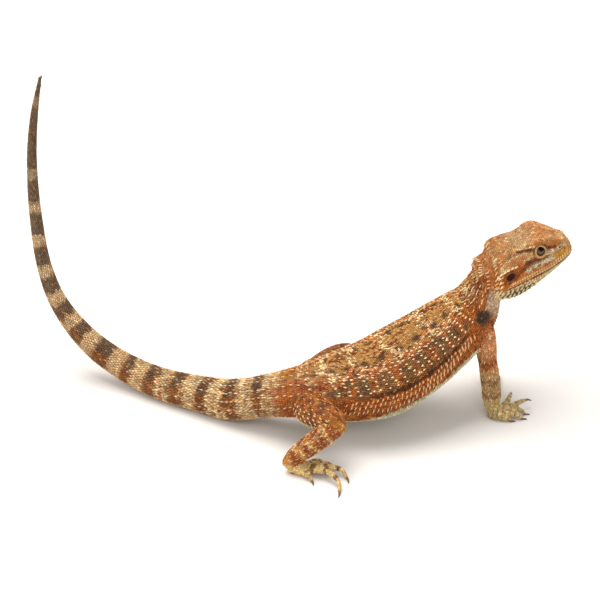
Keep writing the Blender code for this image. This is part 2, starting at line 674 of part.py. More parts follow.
def build_arm(name, side, material):
    """Upper arm and forearm, parted square at the elbow."""
    upper = tube(f"upper_arm_{name}", ARM[side], 14, 9, (True, False), span=(0.0, ELBOW))
    combine(upper, [torso_form("torso_space", GAP), neck_form("neck_space", GAP)], "DIFFERENCE")
    start = ELBOW + GAP / Path(ARM[side]).length
    forearm = tube(f"forearm_{name}", ARM[side], 14, 9, (False, True), span=(start, 1.0))
    combine(forearm, foot_form("hand", side, GAP), "DIFFERENCE")
    for node in (upper, forearm):
        keep_largest(node)
        node.data.materials.append(material)


def digit_rows(foot, side, digit):
    """Rows of one digit, and of its claw."""
    back, front = (np.array(point) for point in SOLE[(foot, side)])
    along = (front - back)[:2]
    along /= np.linalg.norm(along)
    inward = np.array([along[1], -along[0]]) * side
    points = np.array(DIGITS[(foot, side)][digit])
    flat = front[:2] + points[:, :1] * along + points[:, 1:2] * inward
    line = np.column_stack([flat, points[:, 2]])
    rows = [(*point, size, size) for point, size in zip(line, DIGIT_SIZE)]
    tip, end = line[3], line[4]
    heading = (tip - line[2]) / np.linalg.norm(tip - line[2])
    start = tip + heading * GAP / MM
    bend = start + heading * 0.3 * np.linalg.norm(end - tip)
    knuckle = bend + (end - bend) * 0.5 + np.array([0, 0, 0.15])
    claw_rows = [(*point, size, size) for point, size in zip((start, bend, knuckle, end), CLAW_SIZE)]
    return rows, claw_rows


def foot_form(foot, side, grow=0.0):
    """The sole and the five digits of a foot."""
    back, front = SOLE[(foot, side)]
    wide, tall = SOLE_SIZE[foot]
    middle = [(low + high) / 2 for low, high in zip(back, front)]
    sole_rows = ((*back, wide * 0.72, tall), (*middle, wide * 0.92, tall * 0.98), (*front, wide, tall * 0.80))
    pieces = [tube("sole", sole_rows, 14, 7, grow=grow)]
    for digit in range(5):
        rows, _ = digit_rows(foot, side, digit)
        pieces.append(tube("digit", rows, 7, 7, round_ends=(True, False), grow=grow))
    return pieces


def build_foot(foot, name, side, material, claw_material):
    """Sole and digits fused in one node, and five claws."""
    node, *digits = foot_form(foot, side)
    node.name = f"{foot}_{name}"
    combine(node, digits, "UNION")
    node.data.materials.append(material)
    claws = []
    for digit in range(5):
        _, claw_rows = digit_rows(foot, side, digit)
        claw = tube(f"claw_{foot}_{name}_{digit + 1}", claw_rows, 5, 6, round_ends=(False, False))
        claw.data.materials.append(claw_material)
        claws.append(claw)
    for piece in (node, *claws):
        combine(piece, [below_floor()], "DIFFERENCE")
        keep_largest(piece)


def clear_of_limbs(point, margin):
    """Whether a point stands off every limb by the margin."""
    for rows in (*THIGH.values(), *ARM.values()):
        table = Path(rows).table
        reach = np.linalg.norm(table[:, :3] - np.array(point), axis=1) - table[:, 3]
        if reach.min() < margin:
            return False
    return True


def body_row(count, start, end, angle, length, base, lean, shift=0.0):
    """A row of spines along the body on both sides, tallest in its middle."""
    spines = []
    for side in (-1, 1):
        for step in range(count):
            share = (step + shift) / (count - 1)
            fraction = start + (end - start) * share
            if fraction > end or not clear_of_limbs(body_point(fraction, side * angle), SPINE_CLEARANCE):
                continue
            swell = 0.72 + 0.28 * math.sin(math.pi * share)
            vary = random.uniform(0.88, 1.12)
            spines.append(body_spine(fraction, side * angle, length * swell * vary, base, lean))
    return spines


def add_body_spines(torso, neck, tail_1):
    """The fringe along each flank, the rows on neck and tail root, and the small spines of the back.

    The neck is then hollowed to take the back of the head.
    """
    spines = body_row(25, 0.752, 0.925, 1.62, 2.7, 0.60, 0.72)
    spines += body_row(25, 0.752, 0.925, 1.40, 2.2, 0.56, 0.72, 0.5)
    spines += body_row(12, 0.62, 0.915, 0.62, 1.3, 0.52, 0.80)
    combine(torso, spines, "UNION")
    spines = body_row(2, 0.949, 0.955, 1.75, 2.2, 0.52, 0.7)
    spines += body_row(2, 0.949, 0.955, 1.25, 2.0, 0.52, 0.7)
    spines += body_row(2, 0.951, 0.959, 0.55, 1.6, 0.50, 0.6)
    combine(neck, spines, "UNION")
    combine(neck, [head_form("head_space", GAP)], "DIFFERENCE")
    spines = body_row(7, 0.50, 0.592, 1.55, 1.5, 0.52, 0.9)
    spines += body_row(6, 0.50, 0.592, 0.62, 1.2, 0.50, 0.9)
    combine(tail_1, spines, "UNION")
    for node in (torso, neck, tail_1):
        keep_largest(node)


def add_head_spines(head, jaw):
    """The row across the back of the crown, those behind the ear and the beard."""
    neck = BODY.table[BODY.at > NECK_ROOT]
    crown = []
    for turn, back, length in CROWN_SPINES:
        for side in (1, -1):
            crown.append(head_spine(back, side * turn, length, 0.60, 0.9))
    combine(head, clear_spines(crown, neck), "UNION")
    beard = []
    for turn, first, last, count, length in BEARD_ROWS:
        for side in (1, -1):
            for step in range(count):
                share = step / (count - 1)
                grow = 0.70 + 0.30 * share
                vary = random.uniform(0.9, 1.1)
                back = first + (last - first) * share
                beard.append(head_spine(back, side * turn, length * grow * vary, 0.52, 0.80, 0.45))
    combine(jaw, clear_spines(beard, neck), "UNION")


def part_jaws(head, jaw):
    """Cuts head and jaw, spines included, along the mouth line."""
    combine(head, [mouth_block("below", -1)], "DIFFERENCE")
    combine(jaw, [mouth_block("above", 1)], "DIFFERENCE")
    keep_largest(head)
    keep_largest(jaw)


def centre_on_origin():
    """Moves the animal so that the middle of its box is over the origin."""
    bpy.context.view_layer.update()
    nodes = list(bpy.context.scene.objects)
    corners = [node.matrix_world @ Vector(corner) for node in nodes for corner in node.bound_box]
    shift = Vector((0.0, 0.0, 0.0))
    for axis in (0, 1):
        shift[axis] = -(min(c[axis] for c in corners) + max(c[axis] for c in corners)) / 2
    for node in nodes:
        node.location = node.location + shift


def main():
    clear_scene()
    skin = make_material("orange_skin", SKIN_COLOUR, 0.7)
    throat = make_material("pale_throat", THROAT_COLOUR, 0.7)
    banded = make_material("banded_tail", TAIL_COLOUR, 0.7)
    eye_material = make_material("eye", EYE_COLOUR, 0.1)
    horn = make_material("claw_horn", CLAW_COLOUR, 0.4)
    random.seed(7)
    tail = build_tail(banded)
    torso = torso_form("torso")
    torso.data.materials.append(skin)
    neck = neck_form("neck")
    neck.data.materials.append(skin)
    head, jaw, _ = build_head(skin, throat, eye_material)
    add_body_spines(torso, neck, tail[-1])
    add_head_spines(head, jaw)
    part_jaws(head, jaw)
    for name, side in SIDES:
        build_leg(name, side, skin)
        build_arm(name, side, skin)
        build_foot("hind_foot", name, side, skin, horn)
        build_foot("hand", name, side, skin, horn)
    centre_on_origin()


main()
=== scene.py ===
"""The looks of a young central bearded dragon, life size, over its plain solids.

Camera, skin, scales, spines, eyes with their lids, lips, ears, nostrils and claws are made in that
order, then the studio round them.
+X runs from the tail to the head, the animal's left is +Y and +Z is up. Lengths are in metres, and
in millimetres where a name or a comment says so.
"""
import math

import bmesh
import bpy
import numpy as np
from mathutils import Matrix, Vector, bvhtree, kdtree, noise


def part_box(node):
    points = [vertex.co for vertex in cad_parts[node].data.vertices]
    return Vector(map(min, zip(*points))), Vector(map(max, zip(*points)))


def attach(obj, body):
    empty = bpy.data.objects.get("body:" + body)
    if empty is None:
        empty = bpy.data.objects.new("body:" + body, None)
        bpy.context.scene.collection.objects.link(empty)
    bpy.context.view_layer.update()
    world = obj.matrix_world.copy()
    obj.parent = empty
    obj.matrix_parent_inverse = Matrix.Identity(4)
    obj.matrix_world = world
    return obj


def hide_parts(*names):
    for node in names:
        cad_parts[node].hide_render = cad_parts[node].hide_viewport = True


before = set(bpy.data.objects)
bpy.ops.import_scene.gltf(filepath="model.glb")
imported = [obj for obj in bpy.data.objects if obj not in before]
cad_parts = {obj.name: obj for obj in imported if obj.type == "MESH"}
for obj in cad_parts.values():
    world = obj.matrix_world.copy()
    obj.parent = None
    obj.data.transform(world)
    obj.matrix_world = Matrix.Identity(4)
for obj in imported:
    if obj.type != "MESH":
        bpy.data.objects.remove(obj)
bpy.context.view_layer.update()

MM = 0.001
chance = np.random.default_rng(11)

# Body axis from the tail's tip to the inside of the head, in millimetres.
# x, y, z, half width, height above the axis, depth below it
BODY_AXIS = (
    (-111.9, 61.5, 141.7, 0.9, 0.9, 0.9),
    (-115.9, 62.5, 122.5, 1.8, 1.8, 1.8),
    (-117.9, 62.5, 105.9, 2.2, 2.2, 2.2),
    (-118.5, 62.0, 89.2, 2.5, 2.5, 2.5),
    (-117.8, 61.0, 69.0, 2.9, 2.9, 2.9),
    (-115.5, 58.5, 50.4, 3.3, 3.3, 3.3),
    (-110.6, 55.0, 35.6, 3.9, 3.9, 3.9),
    (-102.4, 50.5, 23.8, 4.7, 4.6, 4.6),
    (-91.9, 44.5, 15.2, 5.5, 5.3, 5.3),
    (-78.1, 37.0, 9.2, 6.2, 5.9, 5.9),
    (-62.1, 27.5, 6.9, 7.0, 6.6, 6.7),
    (-45.3, 18.5, 7.6, 7.8, 7.4, 7.4),
    (-29.4, 10.8, 9.2, 9.2, 8.4, 8.4),
    (-14.0, 4.4, 15.0, 10.0, 9.0, 7.8),
    (-4.0, 1.4, 18.6, 12.2, 9.6, 8.6),
    (6.0, 0.6, 20.6, 15.0, 10.7, 9.6),
    (20.0, 4.0, 21.0, 19.5, 12.6, 12.9),
    (34.4, 9.0, 22.8, 22.0, 13.6, 14.2),
    (48.3, 14.5, 27.9, 22.0, 14.0, 11.6),
    (59.3, 19.0, 34.2, 19.6, 13.4, 11.6),
    (69.0, 23.0, 40.5, 16.4, 12.9, 11.4),
    (76.4, 26.0, 47.2, 12.2, 12.1, 9.1),
    (80.4, 28.2, 54.2, 9.4, 9.8, 6.3),
    (83.6, 29.6, 60.6, 8.3, 8.2, 6.6),
    (90.0, 31.8, 64.2, 6.8, 6.0, 6.0),
)
PELVIS = 15  # the row of BODY_AXIS where the body stands level
BACK_ROUND = 2.1  # superellipse powers of the upper and the lower half of a section
BELLY_ROUND = 2.6
TAIL_END = 0.60  # share of the axis where the tail becomes the torso

# Head frame: the lip tip is the front of the mouth line, back runs from it towards the neck.
LIP_TIP = np.array((118.7, 36.0, 72.2)) * MM
HEAD_YAW = math.radians(8)
HEAD_PITCH = math.radians(24.5)
# Millimetres: back from the lip, crown, brow height, brow, temple, cheek, lip and jaw half widths, chin
HEAD_ROWS = (
    (0.0, 4.3, 3.7, 0.6, 0.6, 0.7, 0.6, 0.5, 0.6),
    (0.8, 7.5, 6.6, 2.9, 3.1, 3.3, 3.2, 2.2, -0.9),
    (3.0, 9.5, 8.8, 4.7, 5.1, 5.6, 5.5, 4.2, -1.9),
    (7.0, 12.6, 12.6, 6.7, 6.6, 7.3, 7.5, 6.1, -2.9),
    (11.0, 14.4, 15.4, 9.0, 7.8, 8.9, 9.0, 7.6, -3.8),
    (14.5, 14.9, 15.8, 9.5, 8.4, 9.9, 10.0, 8.5, -4.6),
    (18.5, 14.5, 14.9, 9.4, 9.2, 10.8, 10.7, 9.3, -5.5),
    (22.0, 14.5, 15.0, 9.4, 10.1, 11.6, 11.3, 9.9, -6.4),
    (26.5, 14.9, 15.4, 9.9, 11.0, 12.3, 11.8, 10.4, -7.2),
    (31.0, 14.9, 15.2, 10.4, 11.8, 12.8, 12.0, 10.4, -7.6),
    (33.5, 14.0, 14.2, 10.0, 11.7, 12.6, 11.8, 10.0, -7.3),
    (35.5, 12.8, 12.0, 8.9, 11.0, 12.2, 11.4, 9.5, -6.7),
    (38.0, 12.3, 11.4, 7.9, 9.9, 11.0, 10.6, 8.6, -5.6),
    (40.5, 12.0, 11.3, 7.2, 8.7, 9.6, 9.2, 7.2, -4.0),
    (43.0, 10.4, 9.6, 5.6, 6.8, 7.4, 6.6, 4.9, -1.4),
)
HEAD_LENGTH = HEAD_ROWS[-1][0]
HEAD_GIRTH = 80.0  # millimetres round the cheeks
MOUTH_LINE = ((-4.0, 0.1), (6.0, -0.1), (14.0, 0.1), (22.0, 0.7), (31.0, 1.0), (37.0, 0.2), (46.0, -2.4))
EYE = (13.8, 6.3, 9.7)  # back, aside, up, in the head frame
EYE_RADIUS = 2.9 * MM
ORBIT_RADIUS = 3.4 * MM
ORBIT_STAND = 4.2 * MM
EAR = (29.6, 12.7, 6.1)
EAR_SIZE = (3.0, 1.9, 2.2)  # half length, depth, half height
NOSTRIL = (5.0, 6.0, 6.1)
NOSTRIL_RADIUS = 0.5 * MM

RIGHT, LEFT = -1, 1
SIDES = (("right", RIGHT), ("left", LEFT))

# Limb paths in millimetres: x, y, z, half width, half height
THIGH = {
    RIGHT: ((2.0, -5.0, 18.8, 5.6, 5.6), (4.0, -12.0, 20.2, 7.2, 7.0), (7.0, -18.6, 21.2, 7.2, 6.9),
            (12.0, -24.6, 22.3, 6.0, 5.8), (16.4, -28.2, 21.9, 4.6, 4.6)),
    LEFT: ((3.0, 6.0, 18.4, 5.6, 5.6), (8.8, 13.4, 21.4, 7.2, 7.0), (13.4, 20.4, 21.4, 7.2, 6.9),
           (18.2, 27.0, 21.0, 6.2, 6.0), (22.6, 31.6, 20.0, 5.0, 5.0)),
}
SHANK = {
    RIGHT: ((15.6, -27.9, 20.8, 4.4, 4.4), (11.4, -29.2, 18.0, 4.8, 4.6), (3.8, -31.0, 12.5, 4.6, 4.4),
            (-2.2, -32.0, 7.8, 3.9, 3.7), (-5.0, -32.0, 5.0, 2.8, 2.8)),
    LEFT: ((21.2, 30.8, 18.8, 4.4, 4.4), (17.4, 33.2, 16.0, 4.9, 4.7), (9.8, 36.8, 11.2, 4.6, 4.4),
           (3.6, 39.2, 7.2, 3.9, 3.7), (0.4, 40.2, 5.0, 2.8, 2.8)),
}
ARM = {
    RIGHT: ((77.4, 23.0, 43.4, 5.2, 5.2), (80.2, 17.0, 39.6, 5.0, 4.9), (81.6, 14.2, 33.8, 4.4, 4.4),
            (82.2, 13.4, 28.0, 4.0, 4.0), (83.2, 13.0, 21.6, 4.2, 4.2), (84.3, 12.8, 14.6, 4.2, 4.1),
            (84.8, 12.2, 8.0, 4.0, 3.8), (85.0, 11.6, 3.4, 2.8, 2.6)),
    LEFT: ((75.6, 31.0, 43.4, 5.2, 5.2), (78.0, 36.6, 38.6, 5.0, 4.9), (80.2, 39.9, 32.8, 4.4, 4.4),
           (81.9, 40.4, 26.4, 4.0, 4.0), (83.2, 39.2, 19.8, 4.2, 4.2), (84.6, 36.8, 13.4, 4.2, 4.1),
           (86.0, 34.0, 7.4, 4.0, 3.8), (86.4, 33.0, 3.4, 2.8, 2.6)),
}
# Each foot: back and front of the sole, its half width and thickness
SOLE = {
    ("hind_foot", RIGHT): ((-4.6, -31.2, 2.8), (3.6, -33.5, 2.25)),
    ("hind_foot", LEFT): ((-0.2, 40.2, 2.8), (7.9, 43.0, 2.25)),
    ("hand", RIGHT): ((84.0, 11.2, 2.8), (92.0, 9.8, 2.25)),
    ("hand", LEFT): ((86.2, 32.4, 2.8), (86.8, 39.4, 2.25)),
}
SOLE_SIZE = {"hind_foot": (4.0, 3.0), "hand": (4.6, 3.0)}
# Five digits from the inner one out: root, two knuckles, tip and the claw's point, each in
# millimetres forward of the sole's front, inward of its middle and above the floor
SPREAD_TOES = (
    ((-1.6, 3.0, 2.3), (1.8, 5.8, 3.0), (3.3, 7.6, 2.0), (4.1, 8.6, 0.85), (6.1, 10.2, 0.2)),
    ((-0.8, 2.2, 2.4), (6.1, 3.8, 3.9), (8.5, 5.2, 2.5), (9.9, 5.8, 0.85), (12.8, 5.8, 0.2)),
    ((-0.2, 0.8, 2.5), (9.5, 1.4, 4.3), (14.5, 2.2, 2.8), (16.7, 0.4, 0.85), (18.4, -2.6, 0.2)),
    ((-0.2, -0.8, 2.5), (10.0, -3.0, 4.4), (14.9, -6.2, 2.8), (16.2, -10.0, 0.85), (16.8, -13.7, 0.2)),
    ((-1.9, -2.4, 2.2), (0.9, -4.4, 2.7), (2.2, -5.0, 1.9), (3.1, -5.8, 0.85), (4.5, -8.2, 0.2)),
)
RAISED_FINGERS = (
    ((-2.9, 3.8, 2.8), (-0.8, 6.4, 4.6), (-0.2, 8.8, 5.4), (0.2, 11.2, 5.3), (0.3, 14.0, 4.6)),
    ((-0.6, 2.8, 2.8), (3.0, 4.4, 4.8), (5.4, 6.6, 5.1), (7.2, 8.4, 4.8), (9.6, 10.2, 3.6)),
    ((0.4, 1.5, 2.6), (3.8, 2.0, 3.8), (5.8, 2.9, 2.6), (7.0, 3.5, 0.85), (9.6, 4.1, 0.2)),
    ((0.2, -0.6, 2.5), (3.2, -1.0, 3.1), (5.0, -0.8, 2.0), (6.2, -0.5, 0.85), (8.6, 0.0, 0.2)),
    ((-3.4, -1.8, 2.4), (-1.6, -3.0, 2.6), (0.0, -3.3, 1.9), (1.3, -3.2, 0.85), (3.7, -2.8, 0.2)),
)
CLOSE_FINGERS = (
    ((-3.0, 2.0, 2.4), (-0.6, 3.0, 3.2), (1.0, 3.5, 2.2), (2.2, 3.8, 0.85), (4.6, 4.2, 0.2)),
    ((-0.8, 1.6, 2.6), (2.6, 2.3, 4.0), (4.8, 2.7, 2.8), (6.3, 2.9, 0.85), (9.0, 3.1, 0.2)),
    ((0.4, 0.3, 2.6), (3.6, 0.4, 4.2), (6.2, 0.4, 3.0), (7.9, 0.4, 0.85), (10.8, 0.3, 0.2)),
    ((0.0, -1.1, 2.6), (3.2, -1.7, 4.0), (5.4, -2.1, 2.8), (6.9, -2.4, 0.85), (9.6, -2.8, 0.2)),
    ((-2.6, -1.9, 2.3), (-0.4, -2.9, 2.8), (1.0, -3.5, 1.9), (2.0, -3.9, 0.85), (4.3, -4.5, 0.2)),
)
DIGITS = {
    ("hind_foot", RIGHT): SPREAD_TOES,
    ("hind_foot", LEFT): SPREAD_TOES,
    ("hand", RIGHT): RAISED_FINGERS,
    ("hand", LEFT): CLOSE_FINGERS,
}
DIGIT_SIZE = (1.45, 1.15, 0.90, 0.76)  # half thickness at the root, the knuckles and the tip
CLAW_SIZE = (0.62, 0.52, 0.34, 0.14)

VOXEL = 0.64 * MM
COAT_DEPTH = 0.22 * MM  # the skin lies this far inside the solids, and the scales stand on it
MOUTH_DEPTH = 0.30 * MM
GAP_REACH = 0.80 * MM  # bare skin further than this from a scale gets one of its own
GAP_STEP = 0.72 * MM
BURIED = 0.60 * MM  # a scale whose place is further than this from the skin lies inside another form
NUDGE = 0.40 * MM  # half the step over which a form's direction is read
DRUM_DEPTH = 1.40 * MM
DRUM_SIZE = (2.7, 0.30, 1.95)
NOSTRIL_SHADE_SIZE = (0.5, 0.5, 0.12)
# Half lengths and half heights in millimetres that scales leave free, and the nostril's radius
EYE_FREE = (2.75, 2.95)
EAR_FREE = (2.6, 1.85)
NOSTRIL_FREE = 0.75 * MM
MOUTH_FREE = 0.42  # millimetres over and under the mouth line

PATCH = 0.003  # size of one scale's patch on the bake map
EYE_PATCH = np.array((0.75, 0.38))  # where the lids lie on the bake map
# Strips of the bake map: left, right, low, high
BODY_STRIP = (0.01, 0.99, 0.52, 0.99)
HEAD_STRIP = (0.01, 0.49, 0.26, 0.50)
LIMB_STRIP = (0.01, 0.125, 0.005, 0.061)
LIMB_STRIP_STEP = (0.122, 0.061)

LENS = 122.9
SENSOR = 36.0
CAMERA_ELEVATION = math.radians(30)
CAMERA_BACK = 0.75086
CAMERA_HEIGHT = 0.49947
LIGHT_TARGET = (0.0, 0.02, 0.04)
# Soft boxes: name, place, width and power
SOFT_BOXES = (
    ("overhead", (-0.25, 0.30, 1.3), 1.1, 22),
    ("front_fill", (0.35, -1.2, 0.9), 1.0, 7),
    ("left_fill", (-1.2, -0.3, 0.7), 0.8, 5),
)
ROOM_BRIGHTNESS = 0.66


def linear(code):
    """The linear colour of an sRGB hex code."""
    parts = np.array([int(code[place:place + 2], 16) for place in (1, 3, 5)]) / 255
    return np.where(parts <= 0.04045, parts / 12.92, ((parts + 0.055) / 1.055) ** 2.4)


CREAM = linear("#F6DDA4")
GOLD = linear("#C98A3C")
DARK_OLIVE = linear("#4A3D29")
THIGH_GOLD = linear("#AE5E1A")
THIGH_DARK = linear("#73390F")
SHANK_PALE = linear("#C88232")
SHANK_RUST = linear("#983E10")
LATTICE = linear("#DDA36A")
SALMON = linear("#CF7440")
DORSAL_TAN = linear("#BA8848")
DORSAL_SPOT = linear("#523420")
RUST = linear("#AF5C22")
RED_RUST = linear("#863E16")
OLIVE = linear("#665538")
FRINGE_ORANGE = linear("#D07222")
SHADE_BROWN = linear("#3A2616")
BELLY = linear("#CFC8A2")
THROAT = linear("#D6B894")
NECK_PATCH_DARK = linear("#3B352C")
TAIL_PALE = linear("#CCA676")
TAIL_PALE_THIN = linear("#CCAC84")
TAIL_DARK = linear("#64472F")
TAIL_DARK_THIN = linear("#745E48")
TAIL_RUST = linear("#9A561F")
HEAD_TAN = linear("#CC8E48")
HEAD_RUST = linear("#B66636")
HEAD_PINK = linear("#E09862")
CROWN_OLIVE = linear("#93703A")
LIP_YELLOW = linear("#E8A43A")
LIP_RUST = linear("#C8723C")
GREY_BAND = linear("#F0DCB2")
CHEEK_ORANGE = linear("#CE701C")
EYE_STRIPE = linear("#53301F")
BEARD_PALE = linear("#BCA97A")
BEARD_DARK = linear("#474133")
TOE_PALE = linear("#F4CE88")
TOE_BROWN = linear("#76522C")
ARM_PINK = linear("#DC9660")
ARM_TAN = linear("#C09C66")
HAND_PALE = linear("#DCC084")
SPINE_TIP = linear("#FBE6B4")
LID_TAN = linear("#C99A66")
LID_CREAM = linear("#DDB78A")
LID_RUST = linear("#96552C")
LID_DARK = linear("#4A2C1A")
CLAW_ROOT = linear("#75522F")
CLAW_TIP = linear("#38261A")
CLOTH_GREY = linear("#D9D4CE")
CLOTH_PALE = linear("#E6E2DD")
ROOM_WHITE = linear("#F4F4F6")

UPWARD = np.array([0.0, 0.0, 1.0])


def smooth(knots, values, at):
    """A cubic curve through values at knots, read at the points in at."""
    knots, values, at = (np.asarray(part, float) for part in (knots, values, at))
    slopes = np.gradient(values, knots, axis=0)
    index = np.clip(np.searchsorted(knots, at) - 1, 0, len(knots) - 2)
    width = knots[index + 1] - knots[index]
    part = (at - knots[index]) / width
    if values.ndim > 1:
        width, part = width[:, None], part[:, None]
    square, cube = part**2, part**3
    return (
        values[index] * (2 * cube - 3 * square + 1)
        + slopes[index] * (cube - 2 * square + part) * width
        + values[index + 1] * (3 * square - 2 * cube)
        + slopes[index + 1] * (cube - square) * width
    )


def unit(vectors):
    """Vectors of length one."""
    return vectors / np.maximum(np.linalg.norm(vectors, axis=-1, keepdims=True), 1e-12)


def square_to(vectors, axes):
    """Vectors made square to axes, with length one."""
    return unit(vectors - axes * np.sum(vectors * axes, axis=-1, keepdims=True))


def cubic(before, one, two, after, part):
    """A value between the second and the third of four, on a smooth curve through them."""
    return 0.5 * (
        2 * one
        + (two - before) * part
        + (2 * before - 5 * one + 4 * two - after) * part**2
        + (3 * one - before - 3 * two + after) * part**3
    )


class Path:
    """A smooth centreline with a size at each point and a frame that turns with it as little as it can.

    With level_ahead, the frame doesn't roll at all beyond the row that it starts from.
    """

    def __init__(self, rows, level_row=0, steps=160, level_ahead=False):
        table = np.array(rows, float) * MM
        knots = np.concatenate([[0.0], np.cumsum(np.linalg.norm(np.diff(table[:, :3], axis=0), axis=1))])
        self.rows = knots / knots[-1]
        self.at = np.linspace(0.0, 1.0, steps)
        self.table = smooth(self.rows, table, self.at)
        self.length = knots[-1]
        centre = self.table[:, :3]
        self.along = unit(np.gradient(centre, axis=0))
        self.up = np.zeros_like(centre)
        start = int(round(self.rows[level_row] * (steps - 1)))
        self.up[start] = square_to(UPWARD, self.along[start])
        for index in range(start + 1, steps):
            before = UPWARD if level_ahead else self.up[index - 1]
            self.up[index] = square_to(before, self.along[index])
        for index in range(start - 1, -1, -1):
            self.up[index] = square_to(self.up[index + 1], self.along[index])

    def read(self, fraction):
        """Centre, direction, up, left and the sizes at fractions of the length."""
        row, along, up = (
            np.stack([np.interp(fraction, self.at, column) for column in part.T], axis=-1)
            for part in (self.table, self.along, self.up)
        )
        along = unit(along)
        up = square_to(up, along)
        return row[..., :3], along, up, np.cross(up, along), row[..., 3:]


BODY = Path(BODY_AXIS, PELVIS, 900, level_ahead=True)


def head_axes():
    """Forward, left and up of the head."""
    turn = Matrix.Rotation(HEAD_YAW, 3, "Z") @ Matrix.Rotation(-HEAD_PITCH, 3, "Y")
    return (np.array(turn @ Vector(axis)) for axis in ((1, 0, 0), (0, 1, 0), (0, 0, 1)))


FORWARD, HEAD_LEFT, HEAD_UP = head_axes()


def row_shift():
    """From the plan's origin under the pelvis to the frame's own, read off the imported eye."""
    low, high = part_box("eye_right")
    back, aside, up = EYE
    plan = LIP_TIP + (-FORWARD * back - HEAD_LEFT * aside + HEAD_UP * up) * MM
    return np.array((low + high) / 2) - plan


SHIFT = row_shift()


def head_place(back, aside, up):
    """Points given in millimetres back from the lip tip, to the left and up."""
    back, aside, up = np.broadcast_arrays(*(np.asarray(part, float) for part in (back, aside, up)))
    offset = -FORWARD * back[..., None] + HEAD_LEFT * aside[..., None] + HEAD_UP * up[..., None]
    return LIP_TIP + SHIFT + offset * MM


def head_spot(spot, side):
    """A spot of the head given for one side, on the side asked for."""
    back, aside, up = spot
    return head_place(back, side * aside, up)


def mouth_rise(back):
    """Height of the mouth line in millimetres, by distance back."""
    return np.interp(back, *np.array(MOUTH_LINE).T)


def head_coordinates(points):
    """Millimetres back, to the left and up of points in the frame."""
    offset = (points - LIP_TIP - SHIFT) / MM
    return -offset @ FORWARD, offset @ HEAD_LEFT, offset @ HEAD_UP


def scattered(amount):
    """Turns an even amount into one per scale: a scale takes the over colour nearly wholly or not at all."""
    return step_up(amount - chance.random(len(amount)), -0.08, 0.08) * step_up(amount, 0.0, 0.08)


def jitter(amount, size=None):
    """Random offsets of up to amount either way."""
    return chance.uniform(-amount, amount, size)


def bump(value, centre, width):
    """A smooth bump of height one."""
    return np.exp(-(((value - centre) / width) ** 2))


def blot(first, second, place, size):
    """A smooth oval blot in two coordinates."""
    return np.exp(-(((first - place[0]) / size[0]) ** 2) - (((second - place[1]) / size[1]) ** 2))


def step_up(value, start, end):
    """Rises smoothly from 0 at start to 1 at end."""
    part = np.clip((value - start) / (end - start), 0.0, 1.0)
    return part * part * (3 - 2 * part)


def head_relief(back, share):
    """Millimetres that the head's surface stands out, by distance back and share of a turn from the crown."""
    brow = 0.55 * bump(share, 0.128, 0.013) * step_up(back, 6, 10) * (1 - step_up(back, 18, 22))
    hollow = -0.45 * bump(share, 0.172, 0.014) * step_up(back, 5, 8) * (1 - step_up(back, 10, 12))
    behind = -0.45 * stroke(back, share, ((15.5, 0.147), (22.0, 0.115)), 0.8)
    temple = 0.45 * blot(back, share, (24.0, 0.160), (6.5, 0.014))
    stripe = -0.45 * stroke(back, share, ((15.5, 0.208), (22.0, 0.190), (27.0, 0.190)), 0.8)
    cheek = 0.45 * blot(back, share, (31.0, 0.252), (6.5, 0.026))
    canthus = 0.30 * stroke(back, share, ((3.0, 0.150), (10.0, 0.140)), 0.9)
    pits = -0.25 * bump(share, 0.182, 0.010) * bump(back, 5.0, 1.3)
    return brow + hollow + behind + temple + stripe + cheek + canthus + pits


def stroke(back, share, places, width):
    """1 at points of the head on a line through places on it, and 0 beyond the line's width."""
    scale = np.array([1.0, HEAD_GIRTH])
    point = np.stack([back, share], axis=-1) * scale
    nearest = np.full(np.shape(back), np.inf)
    for start, end in zip(places, places[1:]):
        first, along = np.array(start) * scale, (np.array(end) - np.array(start)) * scale
        part = np.clip((point - first) @ along / (along @ along), 0.0, 1.0)
        reach = np.linalg.norm(point - first - part[..., None] * along, axis=-1)
        nearest = np.minimum(nearest, reach)
    return np.exp(-((nearest / width) ** 2))


def head_surface(back, turn, grow=0.0):
    """Points on the head. turn is 0 at the crown, 0.5 at the chin, and passes the left side first."""
    rows = np.array(HEAD_ROWS)
    values = smooth(rows[:, 0], rows[:, 1:], back)
    crown, brow_up, brow, temple, cheek, lip, jaw, chin = values.T
    zero = np.zeros_like(crown)
    half = (
        (zero, crown),
        (0.55 * brow, 0.45 * crown + 0.55 * brow_up),
        (brow, brow_up),
        (temple, 0.70 * brow_up),
        (cheek, 0.38 * brow_up),
        (lip, 0.08 * brow_up),
        (0.97 * lip, 0.08 * chin),
        (jaw, 0.58 * chin),
        (0.56 * jaw, 0.94 * chin),
        (zero, chin),
    )
    loop = np.array(list(half) + [(-aside, up) for aside, up in half[-2:0:-1]])
    count = len(loop)
    place = (turn % 1.0) * count
    first = np.floor(place).astype(int)
    part = place - first
    each = np.arange(len(back))
    aside, up = cubic(*(loop[(first + step) % count, :, each].T for step in (-1, 0, 1, 2)), part)
    out = unit(np.stack([aside, up - 4.0], axis=-1))
    swell = head_relief(back, 0.5 - np.abs((turn % 1.0) - 0.5)) + grow / MM
    return head_place(back, aside + out[:, 0] * swell, up + out[:, 1] * swell)


def body_surface(fraction, turn, grow=0.0):
    """Points on tail, torso and neck. turn is 0 at the back's middle and passes the left side first."""
    centre, _, up, left, size = BODY.read(fraction)
    angle = 2 * np.pi * turn
    cosine, sine = np.cos(angle), np.sin(angle)
    power = np.where(cosine >= 0, BACK_ROUND, BELLY_ROUND)
    tall = np.where(cosine >= 0, size[:, 1], size[:, 2])
    aside = np.sign(sine) * np.abs(sine) ** (2 / power) * (size[:, 0] + grow)
    rise = np.sign(cosine) * np.abs(cosine) ** (2 / power) * (tall + grow)
    return centre + SHIFT + left * aside[:, None] + up * rise[:, None]


